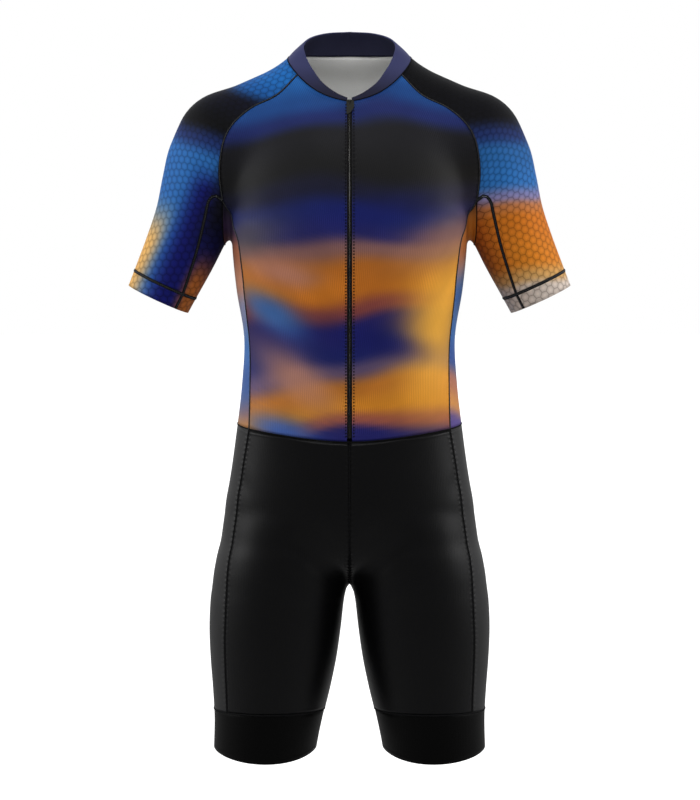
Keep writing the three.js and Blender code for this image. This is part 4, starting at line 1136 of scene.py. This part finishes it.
under_middle = SLEEVE_COLUMNS * FINE // 2
both("front", PRINTED, INSIDE, "printed_knit", wash=lambda p, left: torso_wash(p))
both("side", PRINTED, INSIDE, "printed_knit", wash=lambda p, left: torso_wash(p, side_panel=True))
shell("back", grids["back"], PRINTED, INSIDE, "printed_knit", wash=torso_wash)
both("sleeve", HONEYCOMB, INSIDE, "sleeve_knit", wash=sleeve_wash)
both("under_sleeve", HONEYCOMB, INSIDE, "sleeve_knit", wash=sleeve_wash, level=True)
for tail, grid, left in (("_left", grids["sleeve_hem"], True), ("_right", flipped(grids["sleeve_hem"]), False)):
    middle = under_middle if left else grid.shape[1] - 1 - under_middle
    shell("sleeve_hem" + tail, grid, HONEYCOMB, INSIDE, "sleeve_knit", HEAVY, ring=True, middle=middle,
          foot=-HEM_DEPTH, wash=lambda p, left=left: sleeve_wash(p, left))
both("shorts_front", BLACK, BLACK_INSIDE, "black_knit")
both("shorts_side", BLACK_RIB, BLACK_INSIDE, "black_knit")
both("shorts_back", BLACK, BLACK_INSIDE, "black_knit")
both("leg_band", GRIP, BLACK_INSIDE, "grip_band", thickness=HEAVY, ring=True)

# %% [markdown]
# ## The collar
# A low stand collar of doubled satin knit, cut as one strip that tapers to nothing at the zip. It stands on the neck
# seam, leans in to its rim and bellies out a little between. Its section goes up the outside, round the folded rim
# and down the inside, and is carried round the neck, so that the fold has its real roundness.

# %% Collar
COLLAR_CLOTH, COLLAR_BOW, COLLAR_ROWS, CLEAR_OF_SEAMS = 2.2, 2.2, 11, 20.0
turns = join(neck_front, neck_shoulder, neck_half_back)
base = join(turns, mirrored(turns)[::-1])
turn = np.degrees(np.arctan2(np.abs(base[:, 0]) / NECK["wide"],
                             -base[:, 1] / np.where(base[:, 1] < 0, NECK["front"], NECK["back"])))
rim = neck_point(RIM, COLLAR_RIM, turn)
rim[:, 0] = np.sign(base[:, 0]) * np.maximum(rim[:, 0], ZIP_EDGE * 0.6)
up = np.linspace(0, 1, COLLAR_ROWS)[:, None, None]
outward = unit(base * (1, 1, 0))
high = np.clip(np.linalg.norm(rim - base, axis=-1) / 20, 0, 1)[:, None]
outer = base + up * (rim - base) + outward * COLLAR_BOW * high * 4 * up * (1 - up)
rise_up = unit(np.gradient(outer, axis=0))
face = unit(np.cross(np.gradient(outer, axis=1), rise_up))
inner = outer - face * COLLAR_CLOTH
fold = np.linspace(0, math.pi, 7)[1:-1, None, None]
middle_of_fold = (outer[-1] + inner[-1]) / 2
round_rim = middle_of_fold + COLLAR_CLOTH / 2 * (np.cos(fold) * face[-1] + np.sin(fold) * rise_up[-1])
collar_grid = np.concatenate([outer, round_rim, inner[::-1]])[::-1]
rows, columns = collar_grid.shape[:2]
faces = grid_faces(rows, columns)
cap = np.arange(rows) * columns
sole = grid_faces(2, columns)
sole[:, [0, 3]] += (rows - 1) * columns
sole[:, [1, 2]] -= columns
faces = [*faces, *sole, cap[::-1], cap + columns - 1]
collar = make_piece("collar_stand", collar_grid, faces, (COLLAR, COLLAR_LINING))
give_map(collar, cut_map(collar_grid))
give_attribute(collar, "to_seam", "FLOAT", "value", np.full(rows * columns, CLEAR_OF_SEAMS))
# painted sheen: the collar's colour runs from dark navy at the zip tips to a lighter navy on the sides
tips = np.broadcast_to(smooth_step(18, 62, turn)[:, None], (rows, columns, 1))
at_tips, sheen_at_sides = srgb("17182e"), srgb("313459")
give_attribute(collar, "print", "FLOAT_COLOR", "color", to_light(at_tips + (sheen_at_sides - at_tips) * tips))
lining = np.zeros(len(faces), np.int32)
lining[: COLLAR_ROWS * (columns - 1)] = 1
collar.data.polygons.foreach_set("material_index", lining)
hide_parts("collar")
declare_cloth(outer[::-1])

# %% [markdown]
# ## Flatlock seams
# A flatlock machine butts two edges and covers them with a soft ladder of thread, so that nothing rubs the skin.
# Each seam is a low rounded band, and a zigzag of cover thread on it. Both are a small section carried along the
# seam line. The raglan, side, sleeve and cuff seams have a grey cover thread, the others are black all over.

# %% Band and thread along a line
def frame_along(line):
    """Across and outward directions at each point of a line on the form."""
    along = unit(np.gradient(line, axis=0))
    across = unit(np.cross(along, normal_at(line)))
    return across, np.cross(across, along)


def carried(line, across, out, section):
    """A section's points at each place of the line: the place plus across times b plus outwards times n."""
    section = np.asarray(section, float)
    return line[:, None] + across[:, None] * section[:, :1] + out[:, None] * section[:, 1:]


def rod(points, sections, offset=0):
    """Faces of a rod of closed rings, with both ends capped."""
    faces = grid_faces(points, sections, ring=True, offset=offset)
    first = np.arange(sections) + offset
    return [*faces, first[::-1], first + (points - 1) * sections]


def zigzag(line, across, out, width, pitch, lift):
    """Places along the line, alternately left and right of it by half the width."""
    run = run_of(line)
    at = np.arange(0.5, run[-1] - 0.5, pitch / 2)
    place, sideways, up = (at_lengths(v, run, at) for v in (line, across, out))
    swing = np.where(np.arange(len(at)) % 2, 0.5, -0.5)[:, None] * width
    return place + unit(sideways) * swing + unit(up) * lift, unit(up)


def flatlock(name, lines, width, height, cover=GREY_THREAD, cover_width=0.5, pitch=2.4, tape=THREAD):
    """All seams of one kind as one piece: bands first, then their cover threads."""
    points, faces, kinds, total = [], [], [], 0
    w, h = width / 2, height
    section = [(w, -0.5), (-w, -0.5), (-w, 0.05), (-w * 0.72, h), (-w * 0.2, h * 0.8), (w * 0.2, h * 0.8),
               (w * 0.72, h), (w, 0.05)]
    thread = [(0.24, -0.24), (-0.24, -0.24), (-0.24, 0.24), (0.24, 0.24)]
    for line in lines:
        across, out = frame_along(line)
        line = line - out * crease_depth(line)[:, None]
        band = carried(line, across, out, section)
        path, lifted = zigzag(line, across, out, width * cover_width, pitch, h + 0.12)
        sideways = unit(np.cross(np.gradient(path, axis=0), lifted))
        for rings, kind in ((band, 0), (carried(path, sideways, lifted, thread), 1)):
            new = rod(*rings.shape[:2], offset=total)
            points.append(rings.reshape(-1, 3))
            faces += new
            kinds += [kind] * len(new)
            total += rings.shape[0] * rings.shape[1]
    piece = make_piece(name, np.concatenate(points), faces, (tape, cover))
    piece.data.polygons.foreach_set("material_index", np.array(kinds, np.int32))
    print(name, "faces", len(faces))
    return piece


def both_sides(lines):
    return [*lines, *(mirrored(line)[::-1] for line in lines)]


cuff_turns = [SLEEVE_SEAM_TURN, -SLEEVE_SEAM_TURN]
hem_steps = np.linspace(CUFF_DOWN - HEM_DEPTH, CUFF_DOWN - 0.6, 12)
hem_tails = [np.concatenate([arm_point(d, np.array([t])) for d in hem_steps]) for t in cuff_turns]
waist_ring = join(mirrored(waist_front)[::-1], waist_front, waist_side, waist_back)
waist_ring = join(waist_ring, mirrored(join(waist_side, waist_back))[::-1])
flatlock("seam_raglan", both_sides([*raglan.values(), *side_seam.values()]), 2.8, 0.4, cover_width=0.4)
flatlock("seam_sleeve", both_sides([*sleeve_seam.values(), *hem_tails]), 4.4, 0.4, cover_width=0.5, pitch=3.0)
flatlock("seam_armpit", both_sides([armpit]), 1.6, 0.2, cover=THREAD, cover_width=0.6)
flatlock("seam_cuff", both_sides([join(hem_outer, hem_under[::-1])]), 4.2, 0.4, cover_width=0.5, pitch=3.0)
flatlock("seam_waist", [waist_ring], 1.8, 0.35, cover=THREAD, cover_width=0.5)
flatlock("seam_shorts", both_sides([*leg_side_seam.values(), inseam]) + list(rise_seam.values()), 1.6, 0.22,
         cover=THREAD, cover_width=0.5)
flatlock("seam_leg_band", both_sides([join(band_front, band_side, band_back)]), 2.2, 0.5, cover=THREAD, cover_width=0.5)
flatlock("seam_neck", [base], 1.5, 0.35, cover=THREAD, cover_width=0.5)

# %% [markdown]
# ## The zip
# A fine coil zip. Each row of teeth is one nylon thread wound into a flat coil, and the two coils lock into each
# other. A coil is a helix carried down the front: a flattened circle across and outwards, one turn every 1.4 mm.
# The woven tapes lie behind the edges of the front panels, which two rows of short stitches hold down on them.

# %% Coils and tapes
COIL_PITCH = 1.4
zip_z = np.arange(neck_front[0, 2] - 0.4, WAIST["front"] + 3, -2.0)
zip_line = seen_at(FRONT, 0, zip_z)
zip_across = np.broadcast_to([1.0, 0, 0], zip_line.shape)
zip_out = unit(np.cross(np.gradient(zip_line, axis=0), zip_across))


def helix(side, per_turn=9):
    """A wire wound round a flat oval beside the middle line, half a turn apart on the two sides."""
    run = run_of(zip_line)
    s = np.arange(0.5, run[-1] - 0.5, COIL_PITCH / per_turn)
    at = [at_lengths(v, run, s) for v in (zip_line, zip_across, zip_out)]
    turn = 2 * math.pi * s / COIL_PITCH + (math.pi if side > 0 else 0)
    path = at[0] + at[1] * (side * 0.62 + 0.95 * np.cos(turn)[:, None]) + at[2] * (-0.45 + 0.5 * np.sin(turn)[:, None])
    wire = 0.3 * np.stack([np.cos(k := np.linspace(0, 2 * math.pi, 6)[:-1]), np.sin(k)], -1)
    along = unit(np.gradient(path, axis=0))
    sideways = unit(np.cross(along, at[1] + 0.01 * at[2]))
    return carried(path, sideways, unit(np.cross(sideways, along)), wire)


coils = [helix(-1), helix(1)]
points = np.concatenate([c.reshape(-1, 3) for c in coils])
faces = rod(*coils[0].shape[:2]) + rod(*coils[1].shape[:2], offset=coils[0].shape[0] * coils[0].shape[1])
teeth = make_piece("zip_coil", points, faces, (COIL,))
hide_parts("zip_chain")
print("coil faces:", len(faces))

TAPE_EDGES, TAPE_BEHIND, TAPE_CLOTH = {"_right": (-12.0, -0.5), "_left": (0.5, 12.0)}, 1.3, 0.0005
for tail, edges in TAPE_EDGES.items():
    spots = seen_at(FRONT, *np.meshgrid(np.linspace(*edges, 8), zip_z))
    tape_grid = spots - normal_at(spots) * TAPE_BEHIND
    piece = make_piece("zip_tape_cloth" + tail, tape_grid, grid_faces(*tape_grid.shape[:2]), (TAPE,))
    give_map(piece, cut_map(tape_grid))
    piece.modifiers.new("cloth", "SOLIDIFY").thickness = TAPE_CLOTH
    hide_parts("zip_tape" + tail)
    declare_cloth(tape_grid, 1, 1)

# %% Rows of topstitches
def short_stitches(name, x, pitch, length, width, proud):
    """One low domed stitch after another down a row: a ring of eight points on the cloth and one point above it."""
    z = np.arange(neck_front[0, 2] - 5, WAIST["front"] + 4, -pitch)
    middle = seen_at(FRONT, x, z)
    out = normal_at(middle)
    down = unit(np.gradient(middle, axis=0))
    across = np.cross(down, out)
    k = np.linspace(0, 2 * math.pi, 9)[:-1]
    ring = [middle[:, None] + across[:, None] * (width / 2 * np.cos(k))[:, None] * r
            + down[:, None] * (length / 2 * np.sign(np.sin(k)) * np.abs(np.sin(k)) ** 0.6)[:, None] * (0.8 + 0.2 * r)
            + out[:, None] * n for r, n in ((1.0, -0.3), (1.0, proud * 0.5), (0.55, proud))]
    points = np.concatenate(ring, 1)
    n = np.arange(8)
    m = (n + 1) % 8
    one = [*np.stack([n, m, m + 8, n + 8], -1), *np.stack([n + 8, m + 8, m + 16, n + 16], -1)]
    one = [list(f) for f in one] + [list(n[::-1]), list(n + 16)]
    faces = [[v + 24 * s for v in f] for s in range(len(z)) for f in one]
    return make_piece(name, points, faces, (THREAD,))


STITCH_PITCH, STITCH_LENGTH, STITCH_WIDTH, STITCH_PROUD = 4.1, 2.5, 1.9, 0.4
for row, x in (("topstitch_right", -4.8), ("topstitch_left", 5.7)):
    short_stitches(row, x, STITCH_PITCH, STITCH_LENGTH, STITCH_WIDTH, STITCH_PROUD)

# %% [markdown]
# ## Slider and pull
# The two hard pieces have the right shape in the CAD model, but knife-sharp edges. Each is copied, its loose
# triangles are merged, flat faces are joined, and a small bevel gives the rounding that casting and moulding leave.

# %% Rounded copies
def rounded(node, name, width, finish, body):
    """A merged copy of a CAD node with bevelled edges, which stands for it and rides on its body."""
    work = bmesh.new()
    work.from_mesh(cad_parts[node].data)
    bmesh.ops.remove_doubles(work, verts=work.verts, dist=2e-6)
    bmesh.ops.dissolve_limit(work, angle_limit=math.radians(2), verts=work.verts, edges=work.edges)
    mesh = bpy.data.meshes.new(name)
    work.to_mesh(mesh)
    work.free()
    mesh.materials.clear()
    piece = place_piece(name, mesh, (finish,), body)
    edge = piece.modifiers.new("edge", "BEVEL")
    edge.width, edge.segments, edge.limit_method, edge.angle_limit = width, 2, "ANGLE", math.radians(30)
    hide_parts(node)
    print(name, "faces before the bevel:", len(mesh.polygons))
    return piece


rounded("zip_slider", "slider", 0.0002, ENAMEL, "suit")
rounded("zip_pull", "pull", 0.0003, RUBBER, "pull")

# %% [markdown]
# ## Floor and the end
# The floor is a plain white acrylic sheet well below the suit. It is seen as plain white, as the sky is, so that it
# meets the background without a line, and as light it is dimmer, so that it doesn't grey the black legs from below.

# %% Floor
FLOOR, floor_tree, floor_shader = new_finish(
    "lit_white_studio_acrylic", Base_Color=rgba("b4b4b4"), Roughness=0.9, Emission_Color=(1, 1, 1, 1)
)
to_lens = add(floor_tree, "ShaderNodeLightPath").outputs["Is Camera Ray"]
floor_tree.links.new(to_lens, floor_shader.inputs["Emission Strength"])
FLOOR_REACH, FLOOR_HEIGHT = 20, -1.5  # metres
corners = [(x * FLOOR_REACH, y * FLOOR_REACH, FLOOR_HEIGHT) for x, y in ((-1, -1), (1, -1), (1, 1), (-1, 1))]
paper = bpy.data.meshes.new("floor")
paper.from_pydata(corners, [], [(0, 1, 2, 3)])
paper.materials.append(FLOOR)
floor = put_in_scene("floor", paper)

# %% The end
bpy.context.view_layer.update()
